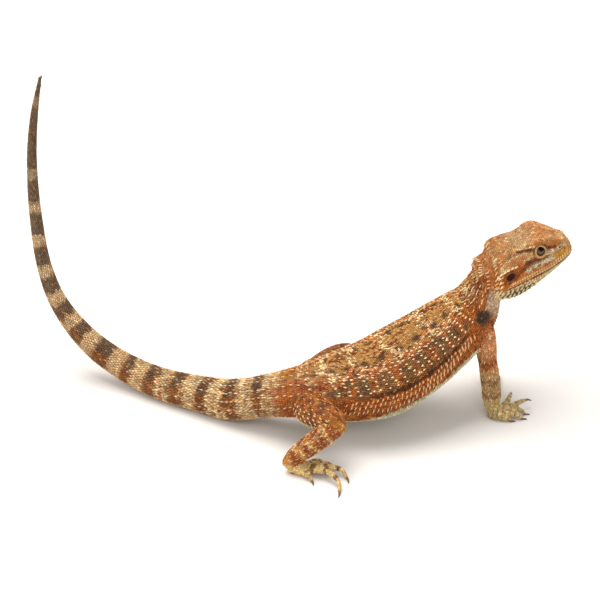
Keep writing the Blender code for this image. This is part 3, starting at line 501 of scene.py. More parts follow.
def tube_surface(path):
    """The surface of a limb or digit along its path, as a function of share, turn and grow."""

    def surface(share, turn, grow=0.0):
        centre, _, up, left, size = path.read(share)
        angle = 2 * np.pi * turn
        aside = np.sin(angle) * (size[:, 0] + grow)
        rise = np.cos(angle) * (size[:, 1] + grow)
        return centre + SHIFT + left * aside[:, None] + up * rise[:, None]

    return surface


def digit_paths(foot, side, digit):
    """The path of one digit and that of its claw."""
    back, front = (np.array(point) for point in SOLE[(foot, side)])
    along = unit((front - back)[:2])
    inward = np.array([along[1], -along[0]]) * side
    points = np.array(DIGITS[(foot, side)][digit])
    flat = front[:2] + points[:, :1] * along + points[:, 1:2] * inward
    line = np.column_stack([flat, points[:, 2]])
    rows = [(*point, size, size) for point, size in zip(line, DIGIT_SIZE)]
    tip, end = line[3], line[4]
    heading = unit(tip - line[2])
    start = tip - heading * 0.5
    bend = tip + heading * 0.3 * np.linalg.norm(end - tip)
    knuckle = bend + (end - bend) * 0.5 + np.array([0, 0, 0.15])
    claw_rows = [(*point, size, size) for point, size in zip((start, bend, knuckle, end), CLAW_SIZE)]
    return Path(rows), Path(claw_rows)


def sole_path(foot, side):
    """The path of a sole, from heel to the roots of the digits."""
    back, front = SOLE[(foot, side)]
    wide, tall = SOLE_SIZE[foot]
    middle = [(low + high) / 2 for low, high in zip(back, front)]
    return Path((
        (*back, wide * 0.72, tall),
        (*middle, wide * 0.92, tall * 0.98),
        (*front, wide, tall * 0.80),
    ))


class Form:
    """One form of the body: its surface, its length and how its scales lie."""

    def __init__(self, name, kind, surface, length, lie, scale, ends=(0.0, 1.0), side=0):
        self.name = name
        self.kind = kind
        self.surface = surface
        self.length = length
        self.lie = lie  # 1 where scales point to the far end of the form, -1 to its start
        self.scale = scale  # a row of SCALE_SIZES
        self.ends = ends
        self.side = side

    def middle(self, share):
        """The middle of the form at its shares."""
        top, bottom = (self.surface(share, np.full_like(share, turn)) for turn in (0.0, 0.5))
        return (top + bottom) / 2


# Step along, width across, length and height of each form's scales, in millimetres
SCALE_SIZES = {
    "body": (0.92, 1.0, 1.30, 0.42),
    "head": (0.85, 0.85, 1.05, 0.24),
    "limb": (0.86, 0.90, 1.15, 0.30),
    "foot": (0.72, 0.74, 0.92, 0.20),
    "digit": (0.62, 0.62, 0.80, 0.16),
}


def tube_form(name, kind, path, side, scale):
    """A form round a path."""
    return Form(name, kind, tube_surface(path), path.length, 1, SCALE_SIZES[scale], side=side)


def body_forms():
    """All forms of flesh."""
    forms = [
        Form("body", "body", body_surface, BODY.length, -1, SCALE_SIZES["body"], (0.0, 0.985)),
        Form("head", "head", lambda share, turn, grow=0.0: head_surface(share * HEAD_LENGTH, turn, grow),
             HEAD_LENGTH * MM, 1, SCALE_SIZES["head"], (0.012, 1.0)),
    ]
    for _, side in SIDES:
        for kind, rows in (("thigh", THIGH), ("shank", SHANK), ("arm", ARM)):
            forms.append(tube_form(kind, kind, Path(rows[side]), side, "limb"))
        for foot in SOLE_SIZE:
            forms.append(tube_form(foot, foot, sole_path(foot, side), side, "foot"))
            for digit in range(5):
                forms.append(tube_form("digit", foot, digit_paths(foot, side, digit)[0], side, "digit"))
    return forms


FORMS = body_forms()


def only(piece):
    """Selects one piece alone and makes it active."""
    bpy.ops.object.select_all(action="DESELECT")
    piece.select_set(True)
    bpy.context.view_layer.objects.active = piece


def shade_smooth(piece):
    """Shades one piece smoothly."""
    only(piece)
    bpy.ops.object.shade_smooth()


def change(piece, kind, **settings):
    """Adds a modifier with its settings to a piece and applies it."""
    modifier = piece.modifiers.new(kind.title(), kind)
    for name, value in settings.items():
        setattr(modifier, name, value)
    bpy.context.view_layer.update()
    only(piece)
    bpy.ops.object.modifier_apply(modifier=modifier.name)


def paint(mesh, colours):
    """Writes a colour for each point of a mesh as its markings."""
    layer = mesh.attributes.new("markings", "FLOAT_COLOR", "POINT")
    layer.data.foreach_set("color", np.column_stack([colours, np.ones(len(colours))]).ravel())


def tree_of(points):
    """A tree that finds the nearest of the points."""
    tree = kdtree.KDTree(len(points))
    for index, point in enumerate(points):
        tree.insert(Vector(point), index)
    tree.balance()
    return tree


def read_points(mesh):
    """The mesh's points as an array."""
    points = np.empty(len(mesh.vertices) * 3)
    mesh.vertices.foreach_get("co", points)
    return points.reshape(-1, 3)


def write_points(mesh, points):
    """Sets the mesh's points from an array."""
    mesh.vertices.foreach_set("co", points.ravel())
    mesh.update()


def plain_ball(segments, rings):
    """A ball of radius one added as by hand, and its points."""
    bpy.ops.mesh.primitive_uv_sphere_add(segments=segments, ring_count=rings, radius=1.0)
    piece = bpy.context.object
    return piece, read_points(piece.data)


def shaped(name, segments, rings, place):
    """A ball with its rings moved by place(share, turn)."""
    piece, points = plain_ball(segments, rings)
    piece.name = name
    share = np.arccos(np.clip(-points[:, 2], -1.0, 1.0)) / np.pi
    turn = np.arctan2(points[:, 1], points[:, 0]) / (2 * np.pi) % 1.0
    write_points(piece.data, place(share, turn))
    return piece


def closed_form(form, segments, rings, grow, ease=1.0):
    """One form as a closed mesh whose ends are drawn in."""
    step = 1.0 / rings

    def place(share, turn):
        inner = np.clip((share - step) / (1 - 2 * step), 0.0, 1.0) ** ease
        rim = form.surface(inner, turn, grow)
        for edge, chosen in ((0.0, share < step * 0.5), (1.0, share > 1 - step * 0.5)):
            rim[chosen] = form.surface(np.full(2, edge), np.array([0.0, 0.5]), grow).mean(axis=0)
        return rim

    return shaped(form.name, segments, rings, place)


def cut_away(piece, cutters):
    """Cuts the cutters from a piece in one Boolean and removes them."""
    group = bpy.data.collections.new("cutters")
    bpy.context.scene.collection.children.link(group)
    for cutter in cutters:
        for home in list(cutter.users_collection):
            home.objects.unlink(cutter)
        group.objects.link(cutter)
    change(piece, "BOOLEAN", operation="DIFFERENCE", operand_type="COLLECTION",
           collection=group, solver="MANIFOLD")
    for cutter in cutters:
        bpy.data.objects.remove(cutter)
    bpy.data.collections.remove(group)


def ball(centre, size, axes=None, segments=24):
    """A sphere or an ellipsoid, with its place in its mesh."""
    piece, points = plain_ball(segments, segments // 2)
    turn = np.eye(3) if axes is None else np.array(axes)
    write_points(piece.data, centre + (points * size) @ turn)
    return piece


def eye_outward(side):
    """The direction in which an eye looks."""
    return unit(HEAD_LEFT * side + FORWARD * 0.20 + HEAD_UP * 0.06)


def eye_centre(side):
    """The middle of an eyeball."""
    return head_spot(EYE, side)


def ear_place(side):
    """The middle of an ear opening and its axes: along it, across the head and up."""
    along = unit(FORWARD * 0.9 + HEAD_UP * 0.42)
    return head_spot(EAR, side), (along, HEAD_LEFT, np.cross(along, HEAD_LEFT))


def ear_offset(points, side):
    """How far points lie from the middle of an ear along its axes, in millimetres."""
    ear, axes = ear_place(side)
    return (points - ear) @ np.array(axes).T / MM


def head_cutters():
    """What hollows the head: eye sockets, ears and nostrils."""
    cutters = []
    for _, side in SIDES:
        cutters.append(ball(eye_centre(side) + eye_outward(side) * ORBIT_STAND, ORBIT_RADIUS))
        cutters.append(ball(eye_centre(side), EYE_RADIUS + 0.25 * MM))
        ear, axes = ear_place(side)
        cutters.append(ball(ear, np.array(EAR_SIZE) * MM, axes))
        cutters.append(ball(head_spot(NOSTRIL, side), NOSTRIL_RADIUS * 1.3))
    return cutters


def mouth_nearness(points, half_width=0.55):
    """1 on the line of the closed mouth, 0 beyond its half width."""
    back, _, up = head_coordinates(points)
    inside = step_up(back, -1.0, 1.5) * (1 - step_up(back, 33, 36))
    return inside * np.clip(1 - (np.abs(up - mouth_rise(back)) / half_width) ** 2, 0, 1)


# Segments and rings of each form under the skin, how far it stands out and how its rings crowd to its start
SKIN_FORMS = {
    "body": (64, 340, -COAT_DEPTH, 1.0),
    "head": (96, 72, -COAT_DEPTH * 0.7, 1.35),
    "hind_foot": (28, 18, 0.0, 1.0),
    "hand": (28, 18, 0.0, 1.0),
    "digit": (16, 20, 0.05 * MM, 1.0),
}
LIMB_FORM = (36, 36, -COAT_DEPTH * 0.7, 1.0)
KNEE_RADIUS, HEEL_RADIUS, WRIST_RADIUS = 4.1, 2.5, 2.5


def make_skin():
    """One closed skin over all the forms, remeshed and smoothed where they meet."""
    pieces = []
    for form in FORMS:
        pieces.append(closed_form(form, *SKIN_FORMS.get(form.name, LIMB_FORM)))
        if form.name == "head":
            cut_away(pieces[-1], head_cutters())
    for _, side in SIDES:
        ends = (SHANK[side][0], SHANK[side][-1], ARM[side][-1])
        for row, size in zip(ends, (KNEE_RADIUS, HEEL_RADIUS, WRIST_RADIUS)):
            pieces.append(ball(np.array(row[:3]) * MM + SHIFT, size * MM))
    only(pieces[0])
    for piece in pieces:
        piece.select_set(True)
    bpy.ops.object.join()
    skin = bpy.context.object
    skin.name = "skin"
    change(skin, "REMESH", mode="VOXEL", voxel_size=VOXEL)
    change(skin, "SMOOTH", factor=0.5, iterations=4)
    points = read_points(skin.data)
    depth = mouth_nearness(points) * MOUTH_DEPTH
    inward = -np.sign(points @ HEAD_LEFT - head_place(0, 0, 0) @ HEAD_LEFT)
    points += inward[:, None] * HEAD_LEFT * depth[:, None]
    points[:, 2] = np.maximum(points[:, 2], 0.0)
    write_points(skin.data, points)
    bpy.ops.object.shade_smooth()
    skin.data.materials.append(SKIN_FINISH)
    flesh = [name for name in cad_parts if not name.startswith(("eye_", "claw_"))]
    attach(skin, "root")
    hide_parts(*flesh)
    return skin


def mottle(points, size, seed=0.0):
    """Smooth noise between about -1 and 1 at points, whose spots are size across."""
    scaled = points / size + seed
    return np.array([noise.noise(Vector(point)) for point in scaled]) * 1.8


def blend(under, over, amount):
    """Colour under with colour over laid on it by amount."""
    amount = np.clip(amount, 0.0, 1.0)[:, None]
    return under * (1 - amount) + over * amount


def speckle(under, over, amount, strength=1.0):
    """Colour under with colour over on single scales, on as many of them as amount says."""
    return blend(under, over, scattered(amount) * strength)


BACK_BANDS = (0.660, 0.689, 0.712, 0.752, 0.808, 0.866, 0.912, 0.948)  # pale lines across the back
TAIL_BANDS = (
    0.035, 0.133, 0.180, 0.225, 0.268, 0.305, 0.342, 0.379, 0.425, 0.462, 0.500, 0.540, 0.580, 0.622, 0.660,
)
# Olive blotches of the flank: share of the axis, angle from the back's middle and their half sizes
FLANK_BLOTCHES = (
    (0.722, 1.05, 0.012, 0.20), (0.755, 0.88, 0.011, 0.32), (0.782, 0.90, 0.013, 0.34),
    (0.815, 0.86, 0.012, 0.32), (0.838, 0.82, 0.014, 0.36), (0.870, 0.80, 0.013, 0.32),
    (0.866, 1.12, 0.016, 0.16), (0.892, 0.90, 0.014, 0.28), (0.812, 1.16, 0.015, 0.14),
    (0.785, 1.20, 0.012, 0.14), (0.842, 1.18, 0.013, 0.13), (0.912, 1.00, 0.009, 0.16),
    (0.750, 1.20, 0.011, 0.14), (0.735, 0.80, 0.007, 0.18),
)


def ridges(points, size, width, seed):
    """Thin wandering lines, 1 on a line and 0 beside it."""
    return bump(mottle(points, size, seed), 0.0, width)


def back_markings(colour, share, angle, fine):
    """Lays the pale lines and the dark spots of the back over its ground colour."""
    for first, last in zip(BACK_BANDS[1:-1], BACK_BANDS[2:]):
        inside = (share >= first) & (share < last)
        part = np.clip((share - first) / (last - first), 0, 1)
        scallop = 0.24 + 0.30 * np.sin(np.pi * part)
        edge = inside * bump(angle + 0.04 * fine, scallop, 0.050)
        colour = blend(colour, SALMON, step_up(edge, 0.25, 0.7) * 0.75)
        colour = speckle(colour, CREAM, edge * 0.35, 0.8)
        rim = inside * bump(angle + 0.04 * fine, scallop - 0.09, 0.035)
        colour = speckle(colour, DORSAL_SPOT, rim * 0.45, 0.75)
        middle = inside * bump(angle, 0.0, 0.030)
        colour = speckle(colour, LATTICE, middle * 0.6, 0.8)
        for spot, size in ((0.26, 0.11), (0.70, 0.14)):
            place = (first + (last - first) * spot, 0.29)
            patch = blot(share, angle, place, ((last - first) * size, 0.085))
            colour = blend(colour, DORSAL_SPOT, step_up(patch + 0.2 * fine, 0.30, 0.65) * 0.85)
    for index, band in enumerate(BACK_BANDS):
        for offset, wide, strength in ((0.0, 0.0020, 0.95), (0.0050, 0.0013, 0.50)):
            tilt = band + offset + 0.014 * angle + 0.004 * np.sin(angle * 14 + index)
            reach = 1 - step_up(angle, 0.38, 0.75) * 0.80
            reach = reach * (1 - step_up(angle, 1.1, 1.5))
            line = bump(share + 0.002 * fine, tilt, wide) * strength * reach
            colour = blend(colour, LATTICE, step_up(line, 0.25, 0.7) * 0.5)
            colour = speckle(colour, CREAM, line * 0.9, 0.95)
    return colour


def body_markings(form, share, turn, points):
    """Colours of tail, torso and neck."""
    angle = np.abs((turn + 0.5) % 1.0 - 0.5) * 2 * np.pi
    left = (turn % 1.0) < 0.5
    share = share + np.where(left, 0.004, 0.0) * np.sin(angle)
    coarse = mottle(points, 5 * MM, 3.1)
    fine = mottle(points, 1.6 * MM, 8.7)
    colour = np.broadcast_to(DORSAL_TAN, points.shape).copy()
    colour = blend(colour, RUST, step_up(angle + 0.1 * fine, 0.38, 0.58) * 0.92)
    colour = speckle(colour, RED_RUST, step_up(coarse + fine * 0.6, -0.2, 0.8) * 0.62)
    colour = speckle(colour, GOLD, step_up(fine - coarse * 0.4, 0.1, 1.0) * 0.38)
    colour = speckle(colour, SHADE_BROWN, step_up(-fine, 0.1, 0.9) * 0.22, 0.75)
    for place in FLANK_BLOTCHES:
        patch = blot(share, angle, place[:2], place[2:])
        colour = blend(colour, OLIVE, step_up(patch + 0.22 * fine, 0.30, 0.75) * 0.62)
        colour = speckle(colour, DARK_OLIVE, step_up(patch, 0.40, 0.9) * 0.32, 0.70)
    colour = back_markings(colour, share, angle, fine)
    fringe = bump(angle, 1.46, 0.16) * step_up(share, 0.70, 0.74) * (1 - step_up(share, 0.91, 0.94))
    colour = blend(colour, FRINGE_ORANGE, fringe * 0.9)
    colour = speckle(colour, RED_RUST, fringe * 0.40, 0.8)
    # Painted shade: a dark brown line along the crease just above the fringe.
    hem = 1.285 - 0.108 * step_up(share, 0.86, 0.96)
    shade = bump(angle + 0.03 * fine, hem, 0.065)
    shade = shade * step_up(share, 0.72, 0.78) * (1 - step_up(share, 0.89, 0.92))
    colour = blend(colour, SHADE_BROWN, step_up(shade, 0.2, 0.7) * 0.85)
    edge = 1.80 + 0.50 * (1 - step_up(share, 0.72, 0.79)) + 0.40 * step_up(share, 0.895, 0.915)
    under = step_up(angle + 0.06 * fine, edge, edge + 0.12)
    belly = blend(np.broadcast_to(BELLY, points.shape), LATTICE, step_up(fine, 0.5, 0.9) * 0.3)
    colour = blend(colour, belly, under)
    rump = bump(share, 0.682, 0.016) * (1 - under)
    colour = blend(colour, RUST, rump * 0.5)
    neck = step_up(share, 0.930, 0.948)
    colour = blend(colour, RED_RUST, neck * bump(angle, 0.62, 0.40) * 0.7)
    colour = blend(colour, CHEEK_ORANGE, neck * bump(angle, 0.98, 0.14) * 0.6)
    colour = speckle(colour, CREAM, neck * (angle < 1.1) * 0.05, 0.9)
    side_neck = step_up(share, 0.934, 0.950) * step_up(angle, 1.12, 1.30)
    colour = blend(colour, THROAT, side_neck)
    # A dark patch on the side of the neck behind the jaw.
    patch = blot(share, angle, (0.934, 1.34), (0.010, 0.28))
    colour = blend(colour, NECK_PATCH_DARK, step_up(patch + 0.1 * fine, 0.28, 0.55) * 0.92)
    return tail_markings(colour, share, angle, fine)


def tail_markings(colour, share, angle, fine):
    """Lays the tail's bands over the body's colours."""
    thin = 1 - step_up(share, 0.22, 0.45)
    pale = blend(TAIL_PALE, TAIL_PALE_THIN, thin)
    dark = blend(TAIL_DARK, TAIL_DARK_THIN, thin)
    lower = step_up(angle, 0.7, 1.1) * step_up(share, 0.28, 0.42) * (1 - step_up(angle, 1.7, 2.0))
    dark = blend(dark, TAIL_RUST, 0.75 * lower)
    strength = np.zeros_like(share)
    for band in TAIL_BANDS:
        width = 0.0085 + 0.005 * step_up(share, 0.2, 0.5)
        strength = np.maximum(strength, bump(share + 0.003 * fine, band, width))
    strength = step_up(strength + 0.16 * fine * step_up(share, 0.3, 0.5), 0.30, 0.70)
    strength *= 0.45 + 0.55 * step_up(share, 0.10, 0.20)
    bands = blend(dark, pale, strength)
    near_body = step_up(share, 0.38, 0.60)
    bands = speckle(bands, TAIL_RUST, near_body * 0.18, 0.85)
    bands = speckle(bands, TAIL_DARK, near_body * 0.10, 0.8)
    bands = speckle(bands, CREAM, near_body * (0.05 + 0.22 * strength), 0.6)
    bands = blend(bands, TAIL_PALE, step_up(angle, 1.8, 2.3) * 0.65)
    return blend(colour, bands, 1 - step_up(share + 0.006 * fine, 0.652, 0.672))


# Lines of the face: colour, places by distance back and share of a turn from the crown, width and strength
FACE_LINES = (
    (CHEEK_ORANGE, ((5, 0.160), (10, 0.150), (17, 0.128)), 1.3, 0.65),
    (RED_RUST, ((6.5, 0.178), (10.5, 0.182)), 0.9, 0.95),
    (EYE_STRIPE, ((9.5, 0.176), (10.8, 0.190)), 0.7, 0.8),
    (CREAM, ((14.6, 0.142), (19, 0.106)), 0.45, 0.8),
    (EYE_STRIPE, ((15.6, 0.152), (18.6, 0.132), (22.4, 0.112)), 0.85, 0.9),
    (EYE_STRIPE, ((15.2, 0.212), (18.2, 0.198), (20.4, 0.191)), 0.90, 0.85),
    (RED_RUST, ((17.0, 0.203), (24.0, 0.214)), 1.0, 0.75),
    (EYE_STRIPE, ((15.4, 0.216), (11.2, 0.219)), 0.45, 0.8),
)


def head_markings(form, share, turn, points):
    """Colours of the head and the beard."""
    back = share * HEAD_LENGTH
    around = 0.5 - np.abs((turn % 1.0) - 0.5)
    coarse = mottle(points, 3.2 * MM, 5.0)
    fine = mottle(points, 1.2 * MM, 2.0)

    def line(places, width, low=0.30, high=0.60):
        return step_up(stroke(back, around, places, width) + 0.07 * fine, low, high)

    colour = np.broadcast_to(HEAD_TAN, points.shape).copy()
    crown = 1 - step_up(around, 0.125, 0.150)
    colour = blend(colour, HEAD_RUST, step_up(coarse + 0.5 * fine, 0.25, 0.8) * 0.55)
    olive = crown * step_up(-coarse + 0.3 * fine, 0.15, 0.6) * step_up(back, 12, 20)
    colour = blend(colour, CROWN_OLIVE, olive * 0.75)
    colour = blend(colour, HEAD_RUST, crown * 0.36)
    colour = blend(colour, HEAD_PINK, crown * bump(around, 0.085, 0.035) * (1 - step_up(back, 18, 24)) * 0.6)
    colour = blend(colour, BEARD_PALE, crown * blot(back, around, (20.0, 0.035), (6.0, 0.060)) * 0.55)
    colour = blend(colour, CREAM, ridges(points, 3.6 * MM, 0.10, 9.0) * (0.3 + 0.3 * crown))
    colour = blend(colour, CREAM, 0.28 * (1 - step_up(back, 1.5, 4.5)))
    colour = speckle(colour, SHADE_BROWN, step_up(fine, 0.3, 0.9) * 0.22, 0.6)
    behind = step_up(back, 26, 32) * bump(around, 0.170, 0.05)
    colour = blend(colour, CHEEK_ORANGE, behind * 0.55)
    colour = blend(colour, RUST, step_up(back, 33, 37) * 0.65)
    temple = blot(back, around, (23.8, 0.158), (7.4, 0.021))
    colour = blend(colour, HEAD_PINK, step_up(temple, 0.32, 0.45) * 0.9)
    colour = blend(colour, HEAD_RUST, step_up(temple, 0.5, 0.8) * step_up(fine, 0.0, 0.8) * 0.4)
    colour = blend(colour, CREAM, bump(temple, 0.34, 0.12) * 0.85)
    cheek = np.maximum(line(((24, 0.205), (39.5, 0.228)), 3.0), line(((20, 0.205), (26, 0.215)), 1.6))
    colour = blend(colour, CHEEK_ORANGE, cheek * 0.95)
    colour = blend(colour, RED_RUST, line(((20.5, 0.204), (26, 0.214)), 1.3) * 0.45)
    ring = bump(np.hypot((back - 29.6) / 2.9, (around - 0.216) / 0.027), 1.0, 0.28)
    colour = blend(colour, RED_RUST, ring * 0.85)
    colour = blend(colour, LIP_YELLOW, line(((2, 0.232), (6, 0.236), (10, 0.244)), 1.9) * 0.9)
    colour = blend(colour, LIP_RUST, line(((9, 0.262), (21, 0.258)), 1.0) * (0.75 + 0.25 * fine))
    colour = blend(colour, LATTICE, line(((19, 0.256), (31, 0.256)), 0.7) * 0.85)
    colour = blend(colour, CHEEK_ORANGE, line(((20, 0.272), (36, 0.262)), 0.9) * 0.9)
    grey = np.maximum(
        line(((4.0, 0.178), (8.2, 0.203), (11.4, 0.213)), 1.0),
        line(((9.5, 0.240), (13, 0.233), (17.4, 0.219), (21.6, 0.221)), 1.15),
    )
    colour = blend(colour, GREY_BAND, grey * 0.92)
    colour = speckle(colour, SHADE_BROWN, grey * 0.20, 0.7)
    for over, places, width, strength in FACE_LINES:
        colour = blend(colour, over, line(places, width) * strength)
    jaw = step_up(around, 0.300, 0.316)
    lower = np.broadcast_to(BEARD_PALE, points.shape).copy()
    lower = speckle(lower, BEARD_DARK, step_up(back, 14, 22) * 0.30, 0.7)
    lower = blend(lower, LIP_RUST, blot(back, around, (19.0, 0.335), (4.5, 0.024)) * 0.75)
    lower = blend(lower, HEAD_RUST, blot(back, around, (28.0, 0.312), (6.0, 0.014)) * 0.8)
    lower = blend(lower, LIP_YELLOW, bump(around, 0.318, 0.016) * (1 - step_up(back, 12, 17)) * 0.5)
    dark = blot(back, around, (29.0, 0.365), (7.5, 0.040))
    lower = blend(lower, BEARD_DARK, step_up(dark + 0.15 * fine, 0.30, 0.65) * 0.85)
    lower = blend(lower, THROAT, step_up(around, 0.43, 0.47) * step_up(back, 24, 32))
    return blend(colour, lower, jaw)


# For each kind of limb: ground, light scales, dark patches, shares of the patches along it, their width
# and the share of light scales. The thigh's patches have no places, because they are blotches all over it
LIMB_LOOKS = {
    "thigh": (THIGH_GOLD, GOLD, THIGH_DARK, (), 0.1, 0.45),
    "shank": (SHANK_PALE, GOLD, SHANK_RUST, (0.08, 0.34, 0.60, 0.84), 0.095, 0.35),
    "arm": (ARM_PINK, CREAM, RED_RUST, (0.46, 0.66, 0.82), 0.035, 0.30),
    "hind_foot": (TOE_PALE, CREAM, TOE_BROWN, (0.12, 0.40, 0.68), 0.055, 0.50),
    "hand": (HAND_PALE, CREAM, TOE_BROWN, (0.15, 0.45, 0.72), 0.060, 0.40),
}
SHANK_LINES = (0.22, 0.48, 0.73)  # pale lines across the shank, as shares of its length


def limb_markings(form, share, turn, points):
    """Colours of the legs, arms and feet."""
    coarse = mottle(points, 3.4 * MM, 1.0)
    fine = mottle(points, 1.3 * MM, 7.0)
    ground, over, blotch, places, width, light = LIMB_LOOKS[form.kind]
    colour = np.broadcast_to(ground, points.shape).copy()
    if form.kind == "arm":
        colour = blend(colour, SALMON, 0.6 * (1 - step_up(share, 0.18, 0.30)))
        colour = blend(colour, RUST, bump(share, 0.46, 0.07) * 0.8)
        colour = blend(colour, ARM_TAN, step_up(share, 0.52, 0.62))
        colour = blend(colour, HAND_PALE, step_up(share, 0.80, 0.95))
    colour = speckle(colour, over, step_up(fine, -0.2, 0.9) * light, 0.85)
    bars = np.zeros_like(share)
    for place in places:
        bars = np.maximum(bars, bump(share + 0.035 * coarse, place, width))
    if form.kind == "thigh":
        bars = step_up(mottle(points, 2.6 * MM, 4.0) + 0.3 * fine, -0.05, 0.55)
        knee = step_up(share, 0.72, 0.90) * ridges(points, 2.6 * MM, 0.22, 6.0)
        colour = blend(colour, SHANK_PALE, knee * 0.9)
    if form.name == "hind_foot":  # the sole, whose toes keep their bars
        bars = step_up(coarse, 0.25, 0.8) * 0.8
    depth = 0.55 if form.kind in ("arm", "hand") else 0.88
    if form.kind == "thigh" and form.side == LEFT:
        colour = blend(colour, OLIVE, np.full(len(share), 0.40))
    colour = blend(colour, blotch, step_up(bars + 0.22 * fine, 0.40, 0.70) * depth)
    if form.kind == "shank":
        colour = blend(colour, CREAM, ridges(points, 3.0 * MM, 0.12, 2.0) * 0.45)
        for place in SHANK_LINES:
            line = bump(share + 0.035 * coarse, place, 0.024)
            colour = speckle(colour, CREAM, line * 0.60, 0.60)
    if form.name in ("thigh", "shank", "arm"):
        inner = step_up(-(points[:, 2] - form.middle(share)[:, 2]) / MM, 2.2, 4.0)
        inner = inner * step_up(share, 0.05, 0.20) * (1 - step_up(share, 0.75, 0.92))
        colour = blend(colour, BELLY, inner * 0.7)
    return colour


MARKINGS = {"body": body_markings, "head": head_markings}


def colours_at(form, share, turn):
    """Colours at places of a form."""
    return MARKINGS.get(form.kind, limb_markings)(form, share, turn % 1.0, form.surface(share, turn))


def scale_size(form, share):
    """Step along, width across, length and height of a form's scales at shares of it, in millimetres."""
    step, wide, long, tall = (np.full_like(share, value) for value in form.scale)
    if form.name == "body":
        tail = 1 - step_up(share, 0.60, 0.68)
        thick = BODY.read(share)[4][:, 0] / MM
        ring = 0.72 + 0.105 * thick
        step = step * (1 - tail) + ring * tail
        wide = wide * (1 - tail) + ring * 0.95 * tail
        long = long * (1 - tail) + ring * 1.42 * tail
        tall = tall * (1 - tail) + (0.16 + 0.035 * thick) * tail
        neck = step_up(share, 0.925, 0.95)
        step, wide, long = (value * (1 - 0.18 * neck) for value in (step, wide, long))
    return step, wide, long, tall


def scale_rows(form):
    """Shares and turns of a form's scales, in staggered rows across it."""
    places = []
    share = form.ends[0]
    row = 0
    samples = np.linspace(0.0, 1.0, 97)
    while share < form.ends[1]:
        step, wide, _, _ = (float(value[0]) for value in scale_size(form, np.array([share])))
        ring = form.surface(np.full(97, share), samples)
        reach = np.concatenate([[0.0], np.cumsum(np.linalg.norm(np.diff(ring, axis=0), axis=1))])
        count = max(5, int(round(reach[-1] / (wide * MM))))
        along = (np.arange(count) + 0.5 * (row % 2) + jitter(0.12, count)) / count
        turn = np.interp((along % 1.0) * reach[-1], reach, samples)
        wobble = jitter(0.14, count) * step * MM / form.length
        places.append(np.stack([np.clip(share + wobble, 0.0, 1.0), turn], axis=-1))
        share += step * MM / form.length
        row += 1
    return np.concatenate(places)


def lie_of(form, share, turn):
    """The direction in which scales lie at places of a form."""
    step = NUDGE / form.length
    ahead = form.surface(np.clip(share + step, 0, 1), turn)
    behind = form.surface(np.clip(share - step, 0, 1), turn)
    return unit(ahead - behind) * form.lie


def scale_places(form, tree):
    """Root, normal, lie, share and turn of each of a form's scales that lies on the skin."""
    share, turn = scale_rows(form).T
    points = form.surface(share, turn)
    roots, normals, keep = [], [], []
    for index, point in enumerate(points):
        root, normal, _, distance = tree.find_nearest(Vector(point))
        if distance < BURIED:
            roots.append(root)
            normals.append(normal)
            keep.append(index)
    keep = np.array(keep, int)
    normals = unit(np.array(normals))
    lie = square_to(lie_of(form, share, turn)[keep], normals)
    return np.array(roots), normals, lie, share[keep], turn[keep]


def pull(piece, moves):
    """Moves the points of a piece in edit mode: each move is a test of places and a shift."""
    only(piece)
    bpy.ops.object.mode_set(mode="EDIT")
    for chosen, shift in moves:
        bpy.ops.mesh.select_all(action="DESELECT")
        form = bmesh.from_edit_mesh(piece.data)
        for vertex in form.verts:
            vertex.select = chosen(vertex.co)
        form.select_flush(True)
        bpy.ops.transform.translate(value=shift)
    bpy.ops.mesh.select_all(action="SELECT")
    bpy.ops.mesh.quads_convert_to_tris()
    bpy.ops.object.mode_set(mode="OBJECT")


def as_template(piece):
    """The points and triangles of a piece made once for copying, which is then removed."""
    points = read_points(piece.data)
    faces = np.array([face.vertices[:] for face in piece.data.polygons])
    bpy.data.objects.remove(piece)
    return points, faces


def keeled_scale():
    """One scale: a low six-sided cone with its keel and its raised tip drawn back along x."""
    bpy.ops.mesh.primitive_cone_add(vertices=6, radius1=0.5, depth=1.0, location=(0, 0, 0.5))
    piece = bpy.context.object
    bpy.ops.object.transform_apply()
    bpy.ops.object.mode_set(mode="EDIT")
    bpy.ops.transform.rotate(value=math.pi / 6, orient_axis="Z", center_override=(0, 0, 0))
    bpy.ops.object.mode_set(mode="OBJECT")
    pull(piece, (
        (lambda place: place.z > 0.5, (0.12, 0, 0)),
        (lambda place: place.z < 0.5 and place.x > 0.3, (0.10, 0, 0.60)),
        (lambda place: place.z < 0.5 and place.x < -0.3, (0.06, 0, 0.15)),
        (lambda place: place.z < 0.1 and abs(place.x) < 0.3, (0, 0, 0.05)),
        (lambda place: place.z < 0.3 and place.x < 0.3, (0, 0, -0.30)),
    ))
    return as_template(piece)


def curved_spine():
    """One spine: a six-sided cone cut twice across and bent along x."""
    bpy.ops.mesh.primitive_cone_add(vertices=6, radius1=0.5, depth=1.3, location=(0, 0, 0.35))
    piece = bpy.context.object
    bpy.ops.object.transform_apply()
    bpy.ops.object.mode_set(mode="EDIT")
    for height in (0.0, 0.30, 0.62):
        bpy.ops.mesh.select_all(action="SELECT")
        bpy.ops.mesh.bisect(plane_co=(0, 0, height), plane_no=(0, 0, 1))
    bpy.ops.object.mode_set(mode="OBJECT")
    pull(piece, (
        (lambda place: place.z > 0.25, (0.10, 0, 0)),
        (lambda place: place.z > 0.55, (0.22, 0, 0)),
        (lambda place: place.z > 0.90, (0.42, 0, 0)),
    ))
    return as_template(piece)


def round_bead():
    """One granule of a lid: a ball of eighty faces."""
    bpy.ops.mesh.primitive_ico_sphere_add(subdivisions=2, radius=0.5)
    return as_template(bpy.context.object)


SCALE = keeled_scale()
SPINE = curved_spine()
BEAD = round_bead()


